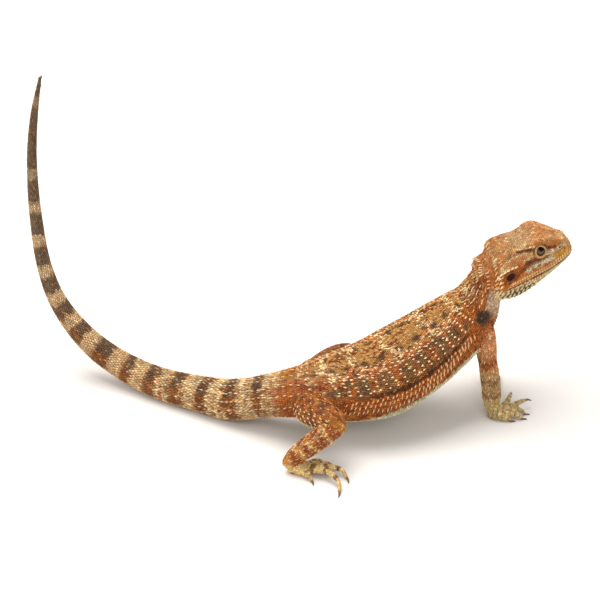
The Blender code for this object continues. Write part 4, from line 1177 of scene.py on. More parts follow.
def coat_mesh(name, shape, faces, roots, lie, normal, size, colours, patches):
    """One joined mesh of many copies of a shape, each set on its root with its colours and its bake patch."""
    across = np.cross(normal, lie)
    count, corners = len(roots), len(shape)
    points = (
        roots[:, None]
        + lie[:, None] * (shape[None, :, :1] * size[:, None, :1])
        + across[:, None] * (shape[None, :, 1:2] * size[:, None, 1:2])
        + normal[:, None] * (shape[None, :, 2:] * size[:, None, 2:])
    ).reshape(-1, 3)
    points[:, 2] = np.maximum(points[:, 2], 0.0)
    corner = (faces[None] + (np.arange(count) * corners)[:, None, None]).reshape(-1)
    mesh = bpy.data.meshes.new(name)
    mesh.vertices.add(len(points))
    mesh.vertices.foreach_set("co", points.ravel())
    mesh.loops.add(len(corner))
    mesh.loops.foreach_set("vertex_index", corner)
    mesh.polygons.add(len(corner) // 3)
    mesh.polygons.foreach_set("loop_start", np.arange(0, len(corner), 3))
    mesh.update(calc_edges=True)
    paint(mesh, colours.reshape(-1, 3))
    spread = (shape[:, :2] - shape[:, :2].mean(axis=0)) * PATCH
    uv = (patches[:, None] + spread[None]).reshape(-1, 2)[corner]
    mesh.uv_layers.new(name="OFBake").data.foreach_set("uv", uv.ravel())
    mesh.validate()
    piece = bpy.data.objects.new(name, mesh)
    bpy.context.scene.collection.objects.link(piece)
    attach(piece, "root")
    return piece


def patch_places(form, share, turn):
    """Where scales lie on the unwrap of the skin: each form has a strip, with its length across it."""
    strip = FORMS.index(form)
    if strip < 2:
        left, right, low, high = (BODY_STRIP, HEAD_STRIP)[strip]
    else:
        row, column = divmod(strip - 2, 8)
        left, right = (edge + LIMB_STRIP_STEP[0] * column for edge in LIMB_STRIP[:2])
        low, high = (edge + LIMB_STRIP_STEP[1] * row for edge in LIMB_STRIP[2:])
    return np.stack([left + (right - left) * share, low + (high - low) * (turn % 1.0)], axis=-1)


def spared(form, points):
    """Which scales of the head stay: none in the eye, the ear, the nostril or the mouth line."""
    if form.name != "head":
        return np.ones(len(points), bool)
    back, _, up = head_coordinates(points)
    keep = np.ones(len(points), bool)
    for _, side in SIDES:
        outward, along, rise = eye_axes(side)
        offset = points - eye_centre(side)
        reach = np.hypot(offset @ along / EYE_FREE[0], offset @ rise / EYE_FREE[1]) / MM
        keep &= ~((reach < 1.0) & (offset @ outward > 0))
        along, across, rise = ear_offset(points, side).T
        keep &= np.hypot(along / EAR_FREE[0], rise / EAR_FREE[1]) + np.abs(across) / 9 > 1.0
        keep &= np.linalg.norm(points - head_spot(NOSTRIL, side), axis=1) > NOSTRIL_FREE
    keep &= (np.abs(up - mouth_rise(back)) > MOUTH_FREE) | (back > 37) | (back < 0.5)
    return keep


def make_coat(skin, tree):
    """All the scales, in a few pieces, and the colours of the skin under them."""
    groups = {}
    for form in FORMS:
        roots, normals, lie, share, turn = scale_places(form, tree)
        keep = spared(form, roots)
        roots, normals, lie, share, turn = (part[keep] for part in (roots, normals, lie, share, turn))
        colour = MARKINGS.get(form.kind, limb_markings)(form, share, turn, roots)
        _, wide, long, tall = scale_size(form, share)
        size = np.stack([long, wide, tall], axis=-1) * MM * chance.uniform(0.86, 1.12, (len(share), 1))
        colour = colour * np.exp(chance.normal(0.0, 0.20, (len(share), 1)))
        colour = speckle(colour, GOLD, np.full(len(share), 0.08), 0.6)
        rows = (roots, lie, normals, size, colour, patch_places(form, share, turn))
        if form.name == "body":
            torso = share > TAIL_END
            for chosen, name in ((torso, "torso_scales"), (~torso, "tail_scales")):
                groups.setdefault(name, []).append(tuple(part[chosen] for part in rows))
        else:
            name = "head_scales" if form.name == "head" else "limb_scales"
            groups.setdefault(name, []).append(rows)
    groups["limb_scales"].append(gap_scales(skin, groups))
    all_roots, all_colours = [], []
    for name, rows in groups.items():
        roots, lie, normals, size, colour, patches = (np.concatenate(part) for part in zip(*rows))
        # Painted shade and highlight: each scale is darker at its low edges and lighter on its raised tip.
        tone = 0.42 + 0.70 * np.clip(SCALE[0][:, 2], 0, 1) + 0.32 * (SCALE[0][:, 0] > 0.4)
        shaded = colour[:, None] * tone[None, :, None]
        piece = coat_mesh(name, *SCALE, roots, lie, normals, size, shaded, patches)
        piece.data.materials.append(SCALE_FINISH)
        all_roots.append(roots)
        all_colours.append(colour)
    paint_skin(skin, np.concatenate(all_roots), np.concatenate(all_colours))


def gap_scales(skin, groups):
    """Scales for the places of the skin that the forms' own rows leave bare, such as knees and heels."""
    joined = [np.concatenate(part) for part in zip(*(row for rows in groups.values() for row in rows))]
    roots, lie, _, _, colours, patches = joined
    near = tree_of(roots)
    points = read_points(skin.data)
    directions = np.empty(len(points) * 3)
    skin.data.vertices.foreach_get("normal", directions)
    directions = directions.reshape(-1, 3)
    open_skin = spared(FORMS[1], points) & (points[:, 2] > 0.4 * MM)
    found = []
    for index in chance.permutation(np.flatnonzero(open_skin)):
        _, nearest, distance = near.find(Vector(points[index]))
        if distance < GAP_REACH:
            continue
        if any(np.linalg.norm(points[index] - points[other]) < GAP_STEP for other, _ in found):
            continue
        found.append((index, nearest))
    chosen, source = np.array(found).T
    normals = unit(directions[chosen])
    along = square_to(lie[source], normals)
    size = np.array([1.15, 0.95, 0.30]) * MM * chance.uniform(0.86, 1.12, (len(chosen), 1))
    shades = colours[source] * np.exp(chance.normal(0.0, 0.2, (len(chosen), 1)))
    spread = jitter(1.0, (len(chosen), 2)) * PATCH
    return points[chosen], along, normals, size, shades, patches[source] + spread


def paint_skin(skin, roots, colours):
    """Gives the skin the colours of the scales that stand on it, darkened as painted shade in the gaps
    between them, along the mouth's slit and inside the ears.
    """
    near = tree_of(roots)
    points = read_points(skin.data)
    shades = np.empty((len(points), 3))
    for index, point in enumerate(points):
        found = near.find_n(Vector(point), 3)
        # Painted shade: the skin in the gaps between scales is darker than the scales round it.
        shades[index] = np.mean([colours[item[1]] for item in found], axis=0) * 0.62
    # Painted shade along the slit of the closed mouth.
    shades *= 1 - 0.75 * mouth_nearness(points, 0.5)[:, None]
    # Painted shade in the hollow of each ear.
    for _, side in SIDES:
        along, across, rise = ear_offset(points, side).T
        inside = 1 - step_up(np.hypot(along / 2.4, rise / 1.9) + np.abs(across) / 9, 0.75, 1.05)
        shades *= 1 - 0.75 * inside[:, None]
    paint(skin.data, shades)


KERATIN_IOR = 1.54
# The eye from the middle of the pupil outwards: place and colour
IRIS = (
    (0.0, "#020101"), (0.270, "#030202"), (0.320, "#4A3A26"), (0.40, "#6A573A"), (0.52, "#5E4B2A"),
    (0.66, "#4C3A1C"), (0.80, "#32220F"), (1.0, "#1C130B"),
)


def set_inputs(tree, node, inputs):
    """Gives inputs of a node their values or links."""
    for name, value in inputs.items():
        if isinstance(value, bpy.types.NodeSocket):
            tree.links.new(value, node.inputs[name])
        else:
            node.inputs[name].default_value = value


def add_node(tree, kind, inputs=None, **settings):
    """Adds a node with its settings and the values or links of its inputs."""
    node = tree.nodes.new(kind)
    for name, value in settings.items():
        setattr(node, name, value)
    set_inputs(tree, node, inputs or {})
    return node


def new_material(name):
    """An empty material, its tree and its Principled shader."""
    material = bpy.data.materials.new(name)
    material.use_nodes = True
    tree = material.node_tree
    return material, tree, tree.nodes["Principled BSDF"]


def horny_scale_finish():
    """Keratin scales: dry and fairly matt, with a soft gloss on each keel and fine growth lines."""
    material, tree, shader = new_material("dry_keratin_scales")
    place = add_node(tree, "ShaderNodeTexCoord")
    marks = add_node(tree, "ShaderNodeAttribute", attribute_name="markings")
    noise_inputs = {"Vector": place.outputs["Object"], "Scale": 1400.0, "Detail": 3.0}
    grain = add_node(tree, "ShaderNodeTexNoise", noise_inputs).outputs["Fac"]
    tone = add_node(tree, "ShaderNodeMapRange", {"Value": grain, "To Min": 0.86, "To Max": 1.14})
    tint_inputs = {0: marks.outputs["Color"], "Scale": tone.outputs["Result"]}
    tinted = add_node(tree, "ShaderNodeVectorMath", tint_inputs, operation="SCALE")
    rough = add_node(tree, "ShaderNodeMapRange", {"Value": grain, "To Min": 0.48, "To Max": 0.66})
    relief = add_node(tree, "ShaderNodeBump", {"Height": grain, "Strength": 0.25, "Distance": 0.00006})
    set_inputs(tree, shader, {
        "Base Color": tinted.outputs["Vector"],
        "Roughness": rough.outputs["Result"],
        "Normal": relief.outputs["Normal"],
        "Specular IOR Level": 0.18,
        "IOR": KERATIN_IOR,
    })
    return material


def bare_skin_finish():
    """The skin between scales: matt, with granules 0.4 mm across."""
    material, tree, shader = new_material("granular_skin")
    place = add_node(tree, "ShaderNodeTexCoord")
    marks = add_node(tree, "ShaderNodeAttribute", attribute_name="markings")
    cell_inputs = {"Vector": place.outputs["Object"], "Scale": 2500.0}
    cells = add_node(tree, "ShaderNodeTexVoronoi", cell_inputs).outputs["Distance"]
    # Painted shade: each granule is lighter in its middle and darker towards its edges, where the bump sinks
    # between granules.
    tone = add_node(tree, "ShaderNodeMapRange", {"Value": cells, "To Min": 1.15, "To Max": 0.7})
    tint_inputs = {0: marks.outputs["Color"], "Scale": tone.outputs["Result"]}
    tinted = add_node(tree, "ShaderNodeVectorMath", tint_inputs, operation="SCALE")
    relief_inputs = {"Height": cells, "Strength": 0.5, "Distance": 0.0001}
    relief = add_node(tree, "ShaderNodeBump", relief_inputs, invert=True)
    set_inputs(tree, shader, {
        "Base Color": tinted.outputs["Vector"],
        "Normal": relief.outputs["Normal"],
        "Roughness": 0.68,
    })
    return material


def wet_eye_finish():
    """A wet eye: an olive-brown iris with a dark rim round a black pupil, under a clear glossy coat."""
    material, tree, shader = new_material("wet_eye")
    around = add_node(tree, "ShaderNodeUVMap", uv_map="gaze")
    parts = add_node(tree, "ShaderNodeSeparateXYZ", {"Vector": around.outputs["UV"]})
    streaks = add_node(tree, "ShaderNodeMapping", {"Vector": around.outputs["UV"], "Scale": (40.0, 4.0, 1.0)})
    fibre_inputs = {"Vector": streaks.outputs["Vector"], "Scale": 1.0, "Detail": 2.0}
    fibres = add_node(tree, "ShaderNodeTexNoise", fibre_inputs)
    wander_inputs = {"Value": fibres.outputs["Fac"], "To Min": -0.03, "To Max": 0.03}
    wander = add_node(tree, "ShaderNodeMapRange", wander_inputs)
    place_inputs = {0: parts.outputs["Y"], 1: wander.outputs["Result"]}
    place = add_node(tree, "ShaderNodeMath", place_inputs, operation="ADD")
    ramp = add_node(tree, "ShaderNodeValToRGB", {"Fac": place.outputs["Value"]})
    ramp.color_ramp.elements[0].color = (*linear(IRIS[0][1]), 1)
    ramp.color_ramp.elements[1].color = (*linear(IRIS[-1][1]), 1)
    for position, code in IRIS[1:-1]:
        ramp.color_ramp.elements.new(position).color = (*linear(code), 1)
    set_inputs(tree, shader, {
        "Base Color": ramp.outputs["Color"],
        "Roughness": 0.30,
        "Specular IOR Level": 0.08,
        "Coat Weight": 0.22,
        "Coat IOR": 1.38,
        "Coat Roughness": 0.03,
    })
    return material


def horn_finish():
    """Claw horn: smooth, with the colours painted on each claw, brown at the root and darker towards the
    point.
    """
    material, tree, shader = new_material("polished_claw_horn")
    marks = add_node(tree, "ShaderNodeAttribute", attribute_name="markings")
    set_inputs(tree, shader, {"Base Color": marks.outputs["Color"], "Roughness": 0.34, "IOR": KERATIN_IOR})
    return material


def plain_finish(name, colour, roughness):
    """A soft even finish, for the eardrum, the rim of the nostril and the dark disc of painted shade inside
    it.
    """
    material, tree, shader = new_material(name)
    set_inputs(tree, shader, {"Base Color": (*colour, 1), "Roughness": roughness, "Specular IOR Level": 0.15})
    return material


SCALE_FINISH = horny_scale_finish()
SKIN_FINISH = bare_skin_finish()
EYE_FINISH = wet_eye_finish()
HORN_FINISH = horn_finish()
RIM_FINISH = plain_finish("pale_nostril_scale", linear("#B09A76"), 0.55)
DRUM_FINISH = plain_finish("taut_eardrum", linear("#2A120A"), 0.60)
NOSTRIL_SHADE_FINISH = plain_finish("painted_nostril_shade", linear("#24160E"), 0.8)


# Rows of spines along the body, on both sides: first and last share of the axis, first and last angle from
# the back's middle, step between them, length, width, lean towards the tail and droop
BODY_SPINE_ROWS = (
    (0.728, 0.800, 1.68, 1.64, 1.7, 1.6, 1.80, -0.30, 0.7),
    (0.800, 0.870, 1.64, 1.54, 1.9, 2.0, 2.10, -0.35, 0.8),
    (0.870, 0.910, 1.54, 1.46, 1.9, 1.5, 1.80, -0.25, 0.7),
    (0.735, 0.800, 1.55, 1.52, 1.8, 1.4, 1.65, -0.25, 0.6),
    (0.800, 0.905, 1.52, 1.40, 1.9, 1.6, 1.90, -0.30, 0.7),
    (0.730, 0.902, 1.43, 1.33, 2.0, 1.1, 1.60, -0.20, 0.5),
    (0.560, 0.705, 1.60, 1.50, 2.4, 1.6, 1.35, 0.50, 0.4),
    (0.560, 0.700, 0.62, 0.60, 2.6, 1.4, 1.30, 0.40, 0.0),
    (0.570, 0.700, 1.05, 1.00, 2.6, 1.3, 1.30, 0.45, 0.0),
    (0.560, 0.700, 0.15, 0.15, 2.8, 1.3, 1.20, 0.45, 0.0),
    (0.700, 0.915, 0.66, 0.62, 2.4, 1.3, 1.20, 0.30, 0.0),
    (0.700, 0.920, 0.40, 0.40, 3.1, 1.1, 1.10, 0.30, 0.0),
    (0.700, 0.920, 0.14, 0.14, 2.8, 1.0, 1.10, 0.35, 0.0),
    (0.934, 0.972, 0.12, 0.12, 2.2, 1.4, 1.15, 0.50, 0.0),
    (0.934, 0.972, 0.36, 0.40, 2.1, 1.6, 1.15, 0.50, 0.0),
    (0.936, 0.970, 0.62, 0.66, 2.1, 1.6, 1.15, 0.50, 0.0),
    (0.936, 0.968, 0.92, 0.98, 2.1, 1.5, 1.15, 0.50, 0.2),
    (0.945, 0.964, 1.24, 1.24, 2.0, 1.4, 1.05, 0.50, 0.4),
    (0.945, 0.960, 1.70, 1.75, 2.0, 1.3, 1.05, 0.50, 0.3),
)
FLANK_COLUMNS = (
    0.722, 0.733, 0.745, 0.757, 0.770, 0.782, 0.794, 0.806, 0.820, 0.833, 0.845, 0.856, 0.867, 0.880, 0.891,
    0.905, 0.920,
)
# Rows of spines on the head, on both sides: first and last back, first and last share of a turn from the
# crown, step between them, length, width, lean towards the neck, droop and paleness
HEAD_SPINE_ROWS = (
    (32.6, 33.4, 0.020, 0.118, 1.5, 1.7, 1.20, 0.95, 0.0, 0.0),
    (32.2, 32.8, 0.075, 0.112, 1.2, 2.5, 1.60, 1.10, 0.0, 0.1),
    (33.4, 36.4, 0.130, 0.222, 1.5, 2.1, 1.15, 0.70, 0.0, 0.3),
    (36.6, 38.4, 0.232, 0.296, 1.6, 2.0, 1.60, 0.50, 0.5, 0.8),
    (30.6, 34.2, 0.130, 0.236, 1.6, 1.3, 1.05, 0.80, 0.0, 0.2),
    (35.0, 36.6, 0.240, 0.296, 1.6, 1.7, 1.45, 0.55, 0.4, 0.7),
    (37.6, 40.2, 0.120, 0.240, 1.6, 1.8, 1.10, 0.70, 0.0, 0.2),
    (38.9, 40.5, 0.020, 0.120, 1.7, 1.9, 1.20, 0.55, 0.0, 0.3),
    (41.6, 42.6, 0.000, 0.150, 1.8, 1.3, 1.15, 0.60, 0.0, 0.0),
    (25.6, 34.4, 0.181, 0.176, 1.6, 1.0, 1.75, 0.30, 0.0, 1.0),
    (34.2, 34.8, 0.184, 0.236, 1.6, 0.9, 1.55, 0.30, 0.0, 1.0),
    (23.0, 37.0, 0.300, 0.296, 1.7, 1.1, 1.15, 0.50, 0.3, 0.4),
    (21.5, 37.6, 0.325, 0.318, 1.9, 1.5, 1.25, 0.45, 0.4, 0.7),
    (20.5, 38.0, 0.349, 0.342, 2.0, 1.7, 1.35, 0.40, 0.5, 0.9),
    (20.5, 37.5, 0.374, 0.368, 2.0, 1.8, 1.35, 0.35, 0.5, 0.9),
    (21.0, 36.0, 0.400, 0.394, 2.1, 1.6, 1.25, 0.40, 0.5, 0.8),
    (23.0, 34.0, 0.426, 0.422, 2.1, 1.3, 1.10, 0.50, 0.4, 0.6),
    (10.0, 20.5, 0.345, 0.349, 2.0, 0.8, 1.20, 0.45, 0.2, 0.5),
    (12.0, 20.5, 0.372, 0.374, 2.1, 0.8, 1.20, 0.45, 0.2, 0.5),
)


class Growth:
    """Spines or granules gathered over a form before they become one piece."""

    def __init__(self):
        self.rows = []

    def add(self, tree, form, share, turn, size, lean, root_colour, tip_colour, droop=0.0):
        """Adds one at each place of a form. size is length and width in millimetres, lean its slope."""
        share, turn = np.asarray(share, float), np.asarray(turn, float) % 1.0
        points = form.surface(share, turn)
        lie = lie_of(form, share, turn)
        patches = patch_places(form, share, turn)
        for index, point in enumerate(points):
            root, normal, _, distance = tree.find_nearest(Vector(point))
            if distance > BURIED:
                continue
            normal = np.array(normal)
            flat = square_to(lie[index], normal)
            slope = lean[index] if np.ndim(lean) else lean
            up = unit(normal * math.cos(slope) + flat * math.sin(slope) - UPWARD * droop)
            over = square_to(flat, up)
            long, wide = size[index]
            size_here = (wide, wide, long)
            self.rows.append(
                (np.array(root), over, up, size_here, root_colour[index], tip_colour, patches[index])
            )

    def finish(self, name, shape=SPINE):
        """Makes the piece."""
        roots, over, up, size, low, high, patches = (np.array(part) for part in zip(*self.rows))
        # Painted shade at the roots: each piece starts at 0.70 of its root colour and turns to its tip colour
        # towards the point.
        height = np.clip(shape[0][:, 2], 0, 1)[None, :, None] ** 1.15
        colours = low[:, None] * 0.70 * (1 - height) + high[:, None] * height
        piece = coat_mesh(name, *shape, roots, over, up, size * MM, colours, patches)
        piece.data.materials.append(SCALE_FINISH)
        return piece


def spine_sizes(long, wide):
    """Length and width of each spine of a row, in millimetres."""
    return np.stack(np.broadcast_arrays(long, wide), axis=-1)


def row_places(first, last, step, length):
    """Evenly spaced shares of a row with a little scatter."""
    count = max(2, int(round((last - first) * length / (step * MM))))
    return np.linspace(first, last, count) + jitter(0.12, count) * step * MM / length


def grow_body_spines(tree):
    """The fringes along the flanks, the pale dots on back and flank and the rows of tail root and neck."""
    form = FORMS[0]
    fringe, dots = Growth(), Growth()
    for side in (RIGHT, LEFT):
        for first, last, near, far, step, long, wide, lean, droop in BODY_SPINE_ROWS:
            share = row_places(first, last, step, form.length)
            angle = near + (far - near) * (share - first) / (last - first)
            turn = side * (angle + jitter(0.03, len(share))) / (2 * np.pi)
            colour = colours_at(form, share, turn)
            size = spine_sizes(long * chance.uniform(0.8, 1.15, len(share)), wide)
            fringe.add(tree, form, share, turn, size, lean, colour, SPINE_TIP, droop)
        for column in FLANK_COLUMNS:
            angle = np.arange(0.50, 1.21, 0.125) + jitter(0.035)
            share = column + jitter(0.0022, len(angle)) + 0.010 * (angle - 0.9)
            turn = side * (angle + jitter(0.02, len(angle))) / (2 * np.pi)
            size = spine_sizes(chance.uniform(0.7, 1.0, len(angle)), chance.uniform(1.2, 1.6, len(angle)))
            colour = colours_at(form, share, turn)
            pale = blend(colour, CREAM, chance.uniform(0.35, 0.80, len(share)))
            dots.add(tree, form, share, turn, size, 0.12, pale, SPINE_TIP)
    fringe.finish("body_spines")
    dots.finish("flank_dots")


def grow_head_spines(tree):
    """The crown's rear corners, the rows round the ear and the beard."""
    form = FORMS[1]
    growth = Growth()
    for side in (RIGHT, LEFT):
        for first, last, near, far, step, long, wide, lean, droop, pale in HEAD_SPINE_ROWS:
            reach = math.hypot(last - first, (far - near) * HEAD_GIRTH)
            count = max(3, int(round(reach / step)))
            part = np.linspace(0, 1, count) + jitter(0.1, count) / count
            back = first + (last - first) * part
            turn = side * (near + (far - near) * part + jitter(0.002, count))
            share = np.clip(back / HEAD_LENGTH, 0, 1)
            colour = colours_at(form, share, turn)
            grow = (0.72 + 0.28 * part) * chance.uniform(0.85, 1.15, count)
            size = spine_sizes(long * grow, wide)
            colour = blend(colour, CREAM, np.full(count, pale))
            growth.add(tree, form, share, turn, size, lean, colour, SPINE_TIP, droop)
    growth.finish("head_spines")


THIGH_SPINE_ROWS = ((0.19, 1.3), (0.235, 1.7), (0.28, 1.9), (0.325, 1.7), (0.37, 1.4))  # turn and length


def grow_limb_spines(tree):
    """Low pale spines on the upper side of legs and arms, and longer ones down the thighs' rear edge."""
    growth = Growth()
    for form in FORMS:
        if form.name not in ("thigh", "shank", "arm"):
            continue
        for row, share in enumerate(np.arange(0.30 if form.name == "thigh" else 0.10, 0.95, 0.085)):
            turn = np.arange(-0.30, 0.34, 0.085) + (row % 2) * 0.042 + jitter(0.012)
            share = np.full(len(turn), share) + jitter(0.015, len(turn))
            colour = colours_at(form, share, turn)
            size = spine_sizes(chance.uniform(0.7, 1.1, len(turn)), 0.95)
            growth.add(tree, form, share, turn, size, 0.75, colour, SPINE_TIP)
        if form.name == "thigh":
            for turn, length in THIGH_SPINE_ROWS:
                share = np.arange(0.30, 0.97, 0.085) + jitter(0.02)
                turn = form.side * np.full(len(share), turn)
                colour = colours_at(form, share, turn)
                size = spine_sizes(length * chance.uniform(0.8, 1.15, len(share)), 1.25)
                pale = blend(colour, CREAM, np.full(len(share), 0.25))
                growth.add(tree, form, share, turn, size, 0.55, pale, SPINE_TIP)
    growth.finish("limb_spines")


# Section of an eyelid in millimetres: out from the eye's axis and forward of its centre
LID_SECTION = (
    (3.50, 1.60), (3.32, 2.22), (3.02, 2.62), (2.66, 2.86), (2.34, 2.86), (2.12, 2.66),
    (2.02, 2.40), (2.16, 2.10), (2.62, 1.55), (3.20, 1.10),
)
# Rows of granules on the lids: place in the section, count and size
LID_GRAINS = ((0.10, 32, 0.66), (0.20, 30, 0.60), (0.29, 29, 0.50), (0.37, 29, 0.42), (0.45, 30, 0.34))


def loop_read(points, places):
    """A smooth closed curve through points, read at places from 0 to 1."""
    points = np.array(points)
    count = len(points)
    spot = (places % 1.0) * count
    first = np.floor(spot).astype(int)
    part = (spot - first)[:, None]
    return cubic(*(points[(first + step) % count] for step in (-1, 0, 1, 2)), part)


def eye_axes(side):
    """Outward, along the head and up, square to each other, at an eye."""
    outward = eye_outward(side)
    along = square_to(FORWARD, outward)
    return outward, along, np.cross(along, outward) * side


def lid_points(side, around, section):
    """Points of the lids, by angle round the eye and place in their section."""
    outward, along, up = eye_axes(side)
    reach, out = loop_read(LID_SECTION, section).T
    inner = step_up(-reach, -3.3, -2.2)
    corner = np.exp(-((np.cos(around) - np.sign(np.cos(around))) / 0.05) ** 2)
    upper = step_up(np.sin(around), 0.2, 0.9)
    out = out - 0.18 * corner * inner
    wide = 0.97 - 0.11 * inner + 0.05 * corner * inner
    tall = 0.97 + (0.10 + 0.12 * upper) * inner
    flat = along * (np.cos(around) * reach * wide)[:, None] + up * (np.sin(around) * reach * tall)[:, None]
    return eye_centre(side) + (flat + outward * out[:, None]) * MM


def make_eyes():
    """Each eye: a glossy ball, two thick lids round it and the granules on them."""
    grains = Growth()
    for name, side in SIDES:
        outward, along, up = eye_axes(side)
        eye, points = plain_ball(64, 48)
        eye.name = "eyeball_" + name
        angle = np.arccos(np.clip(points[:, 2], -1, 1))
        around = np.arctan2(points[:, 1], points[:, 0])
        radius = EYE_RADIUS + 0.10 * MM * np.exp(-((angle / 0.6) ** 2))
        look = unit(outward + up * 0.47 + along * 0.34)
        level = square_to(along, look)
        axes = np.stack([level, np.cross(look, level), look])
        write_points(eye.data, eye_centre(side) + (points * radius[:, None]) @ axes)
        gaze = eye.data.uv_layers.new(name="gaze")
        for loop in eye.data.loops:
            turn = around[loop.vertex_index] / (2 * np.pi) + 0.5
            gaze.data[loop.index].uv = (turn, angle[loop.vertex_index] / np.pi * 2)
        eye.data.materials.append(EYE_FINISH)
        shade_smooth(eye)
        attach(eye, "root")
        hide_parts("eye_" + name)
        lids = shaped_ring("eyelids_" + name, 72, 24, lambda ring, section: lid_points(side, ring, section))
        paint_lids(lids, side)
        for section, count, size in LID_GRAINS:
            ring = np.arange(count) / count * 2 * np.pi + chance.uniform(0, 0.2)
            places = lid_points(side, ring, np.full(count, section))
            tones = lid_colours(side, places) * chance.uniform(0.82, 1.15, (count, 1))
            for place, tone in zip(places, tones):
                up_there = unit(place - eye_centre(side))
                over = unit(np.cross(up_there, along))
                grain = (size, size, size * 0.8)
                # Painted highlight: each granule's top is a tenth lighter than its own colour.
                grains.rows.append((place, over, up_there, grain, tone, tone * 1.1, EYE_PATCH))
    piece = grains.finish("eyelid_granules", BEAD)
    shade_smooth(piece)


def lid_colours(side, points):
    """Colours of the lids: a pale crest, rust beyond it above and tan below, and a dark inner margin."""
    _, along, up = eye_axes(side)
    offset = (points - eye_centre(side)) / MM
    rise = offset @ up
    reach = np.hypot(offset @ along, rise * 0.92)
    colour = blend(np.broadcast_to(LID_TAN, points.shape), LID_CREAM, bump(reach, 2.45, 0.22) * 0.75)
    beyond = step_up(reach, 2.62, 2.95)
    colour = blend(colour, LID_RUST, beyond * (0.45 + 0.5 * step_up(rise, -0.5, 1.2)))
    front = step_up(offset @ along, 1.2, 2.4)
    colour = blend(colour, LATTICE, step_up(-rise, 0.2, 2.0) * 0.7)
    colour = blend(colour, LID_DARK, beyond * front * step_up(rise, -1.6, -0.2) * 0.7)
    return blend(colour, LID_DARK, (1 - step_up(reach, 1.90, 2.08)) * 0.75)


def paint_lids(lids, side):
    """Gives the lids their colours and the bare skin's finish."""
    paint(lids.data, lid_colours(side, read_points(lids.data)))
    lids.data.materials.append(SKIN_FINISH)


def shaped_ring(name, around, section, place):
    """A torus added as by hand, whose points are moved by place(angle, section)."""
    bpy.ops.mesh.primitive_torus_add(
        major_segments=around, minor_segments=section, major_radius=1.0, minor_radius=0.25
    )
    piece = bpy.context.object
    piece.name = name
    points = read_points(piece.data)
    angle = np.arctan2(points[:, 1], points[:, 0])
    reach = np.hypot(points[:, 0], points[:, 1]) - 1.0
    write_points(piece.data, place(angle, np.arctan2(points[:, 2], reach) / (2 * np.pi) % 1.0))
    only(piece)
    bpy.ops.object.mode_set(mode="EDIT")
    bpy.ops.mesh.select_all(action="SELECT")
    bpy.ops.mesh.normals_make_consistent(inside=False)
    bpy.ops.object.mode_set(mode="OBJECT")
    bpy.ops.object.shade_smooth()
    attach(piece, "root")
    return piece


# Rows of plates along the lips: their height over the mouth line, and the distances back of first and last
LIP_ROWS = ((0.95, 2.0, 33.0), (2.05, 3.0, 31.0), (-0.95, 2.5, 32.0), (-2.0, 4.0, 30.0))


def make_lip_scales(tree):
    """The rows of squarish plates along both lips."""
    form = FORMS[1]
    plates = Growth()
    turns = np.linspace(0.20, 0.36, 60)
    for side in (RIGHT, LEFT):
        for rise, first, last in LIP_ROWS:
            back = np.arange(first, last, 1.18) + jitter(0.05)
            for spot in back:
                points = form.surface(np.full(len(turns), spot / HEAD_LENGTH), side * turns)
                level = head_coordinates(points)[2] - mouth_rise(spot)
                turn = side * float(np.interp(-rise, -level, turns))
                share = np.array([spot / HEAD_LENGTH])
                colour = colours_at(form, share, np.array([turn]))
                colour = blend(colour, CREAM, chance.uniform(0.15, 0.55, 1))
                # Painted highlight: each plate's top is a little lighter than its colour.
                plates.add(tree, form, share, [turn], [(0.72, 1.12)], 0.0, colour, colour[0] * 1.08)
    piece = plates.finish("lip_scales", BEAD)
    shade_smooth(piece)


def make_ears_and_nostrils(tree):
    """The sunken eardrums, the rimmed nostrils and a dark disc of painted shade inside each nostril."""
    for name, side in SIDES:
        ear, axes = ear_place(side)
        drum = ball(ear - HEAD_LEFT * side * DRUM_DEPTH, np.array(DRUM_SIZE) * MM, axes)
        drum.name = "eardrum_" + name
        drum.data.materials.append(DRUM_FINISH)
        spot = head_spot(NOSTRIL, side)
        root, normal, _, _ = tree.find_nearest(Vector(spot))
        normal = np.array(normal)
        level = square_to(FORWARD, normal)
        rise = np.cross(normal, level)

        def rim(angle, section):
            reach = 0.62 + 0.24 * np.cos(2 * np.pi * section)
            out = 0.02 + 0.24 * np.sin(2 * np.pi * section)
            flat = level * (np.cos(angle) * reach * 1.15)[:, None] + rise * (np.sin(angle) * reach)[:, None]
            return np.array(root) + (flat + normal * out[:, None]) * MM

        ring = shaped_ring("nostril_rim_" + name, 20, 8, rim)
        ring.data.materials.append(RIM_FINISH)
        # Painted shade: a flat dark disc at the bottom of the nostril stands for the shade inside its hole.
        nostril_shade = ball(np.array(root), np.array(NOSTRIL_SHADE_SIZE) * MM, (level, rise, normal), 12)
        nostril_shade.name = "nostril_shade_disc_" + name
        nostril_shade.data.materials.append(NOSTRIL_SHADE_FINISH)
        for piece in (drum, nostril_shade):
            shade_smooth(piece)
            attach(piece, "root")


def make_talons():
    """Twenty curved claws, brown at the root and darker towards the point."""
    for name, side in SIDES:
        for foot in SOLE_SIZE:
            for digit in range(5):
                _, path = digit_paths(foot, side, digit)
                talon = closed_form(tube_form("talon", foot, path, side, "digit"), 16, 18, 0.0)
                talon.name = f"talon_{foot}_{name}_{digit + 1}"
                points = read_points(talon.data)
                points[:, 2] = np.maximum(points[:, 2], 0.0)
                write_points(talon.data, points)
                reach = np.linalg.norm(points - path.table[0, :3] - SHIFT, axis=1) / path.length
                paint(talon.data, blend(CLAW_ROOT, CLAW_TIP, step_up(reach, 0.35, 1.0)))
                talon.data.materials.append(HORN_FINISH)
                shade_smooth(talon)
                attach(talon, "root")
                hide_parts(f"claw_{foot}_{name}_{digit + 1}")


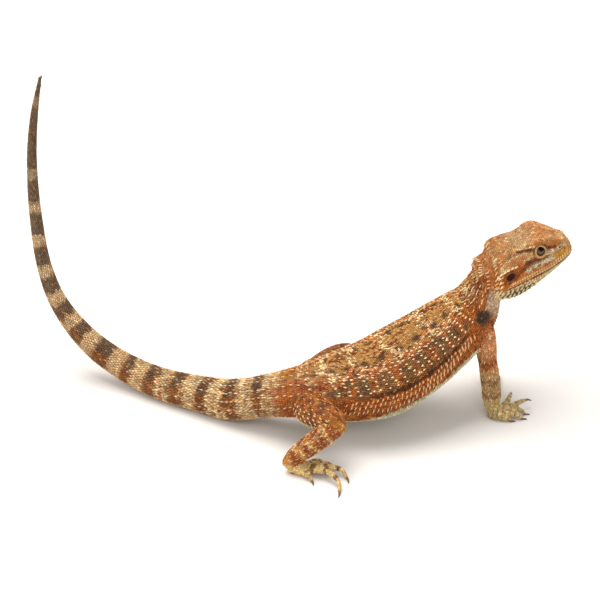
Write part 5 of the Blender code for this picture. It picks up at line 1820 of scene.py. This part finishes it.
def make_camera():
    """The photograph's view: 30 degrees down, square to the floor's X axis."""
    place = (float(SHIFT[0]), float(SHIFT[1]) - CAMERA_BACK, CAMERA_HEIGHT)
    bpy.ops.object.camera_add(location=place, rotation=(math.pi / 2 - CAMERA_ELEVATION, 0, 0))
    camera = bpy.context.object
    camera.data.lens = LENS
    camera.data.sensor_width = SENSOR
    camera.data.clip_start = 0.05
    bpy.context.scene.camera = camera


def soft_light(name, place, size, power):
    """One large soft box that looks at the animal."""
    bpy.ops.object.light_add(type="AREA", location=place)
    lamp = bpy.context.object
    lamp.name = name
    lamp.data.shape = "SQUARE"
    lamp.data.size = size
    lamp.data.energy = power
    lamp.visible_glossy = name == "overhead"
    lamp.rotation_euler = (Vector(LIGHT_TARGET) - Vector(place)).to_track_quat("-Z", "Y").to_euler()


def make_studio():
    """A pale cloth floor under soft boxes and a bright room."""
    bpy.ops.mesh.primitive_plane_add(size=8.0)
    floor = bpy.context.object
    floor.name = "floor"
    material, tree, shader = new_material("pale_backdrop_cloth")
    place = add_node(tree, "ShaderNodeTexCoord")
    # Painted shade: the cloth is darker and paler in soft random patches, like the shading of a sagging
    # cloth.
    cloth_fold_shade_inputs = {"Vector": place.outputs["Object"], "Scale": 6.0, "Detail": 2.0}
    cloth_fold_shade = add_node(tree, "ShaderNodeTexNoise", cloth_fold_shade_inputs)
    mixed = {"Factor": cloth_fold_shade.outputs["Fac"], "A": (*CLOTH_GREY, 1), "B": (*CLOTH_PALE, 1)}
    shade = add_node(tree, "ShaderNodeMix", mixed, data_type="RGBA")
    set_inputs(tree, shader, {"Base Color": shade.outputs["Result"], "Roughness": 0.9})
    floor.data.materials.append(material)
    for box in SOFT_BOXES:
        soft_light(*box)
    world = bpy.data.worlds.new("room")
    world.use_nodes = True
    room = world.node_tree
    set_inputs(room, room.nodes["Background"], {"Color": (*ROOM_WHITE, 1), "Strength": ROOM_BRIGHTNESS})
    bpy.context.scene.world = world
    bpy.context.scene.view_settings.view_transform = "Standard"


make_camera()
skin_piece = make_skin()
skin_tree = bvhtree.BVHTree.FromObject(skin_piece, bpy.context.evaluated_depsgraph_get())
make_coat(skin_piece, skin_tree)
grow_body_spines(skin_tree)
grow_head_spines(skin_tree)
grow_limb_spines(skin_tree)
make_eyes()
make_lip_scales(skin_tree)
make_ears_and_nostrils(skin_tree)
make_talons()
make_studio()
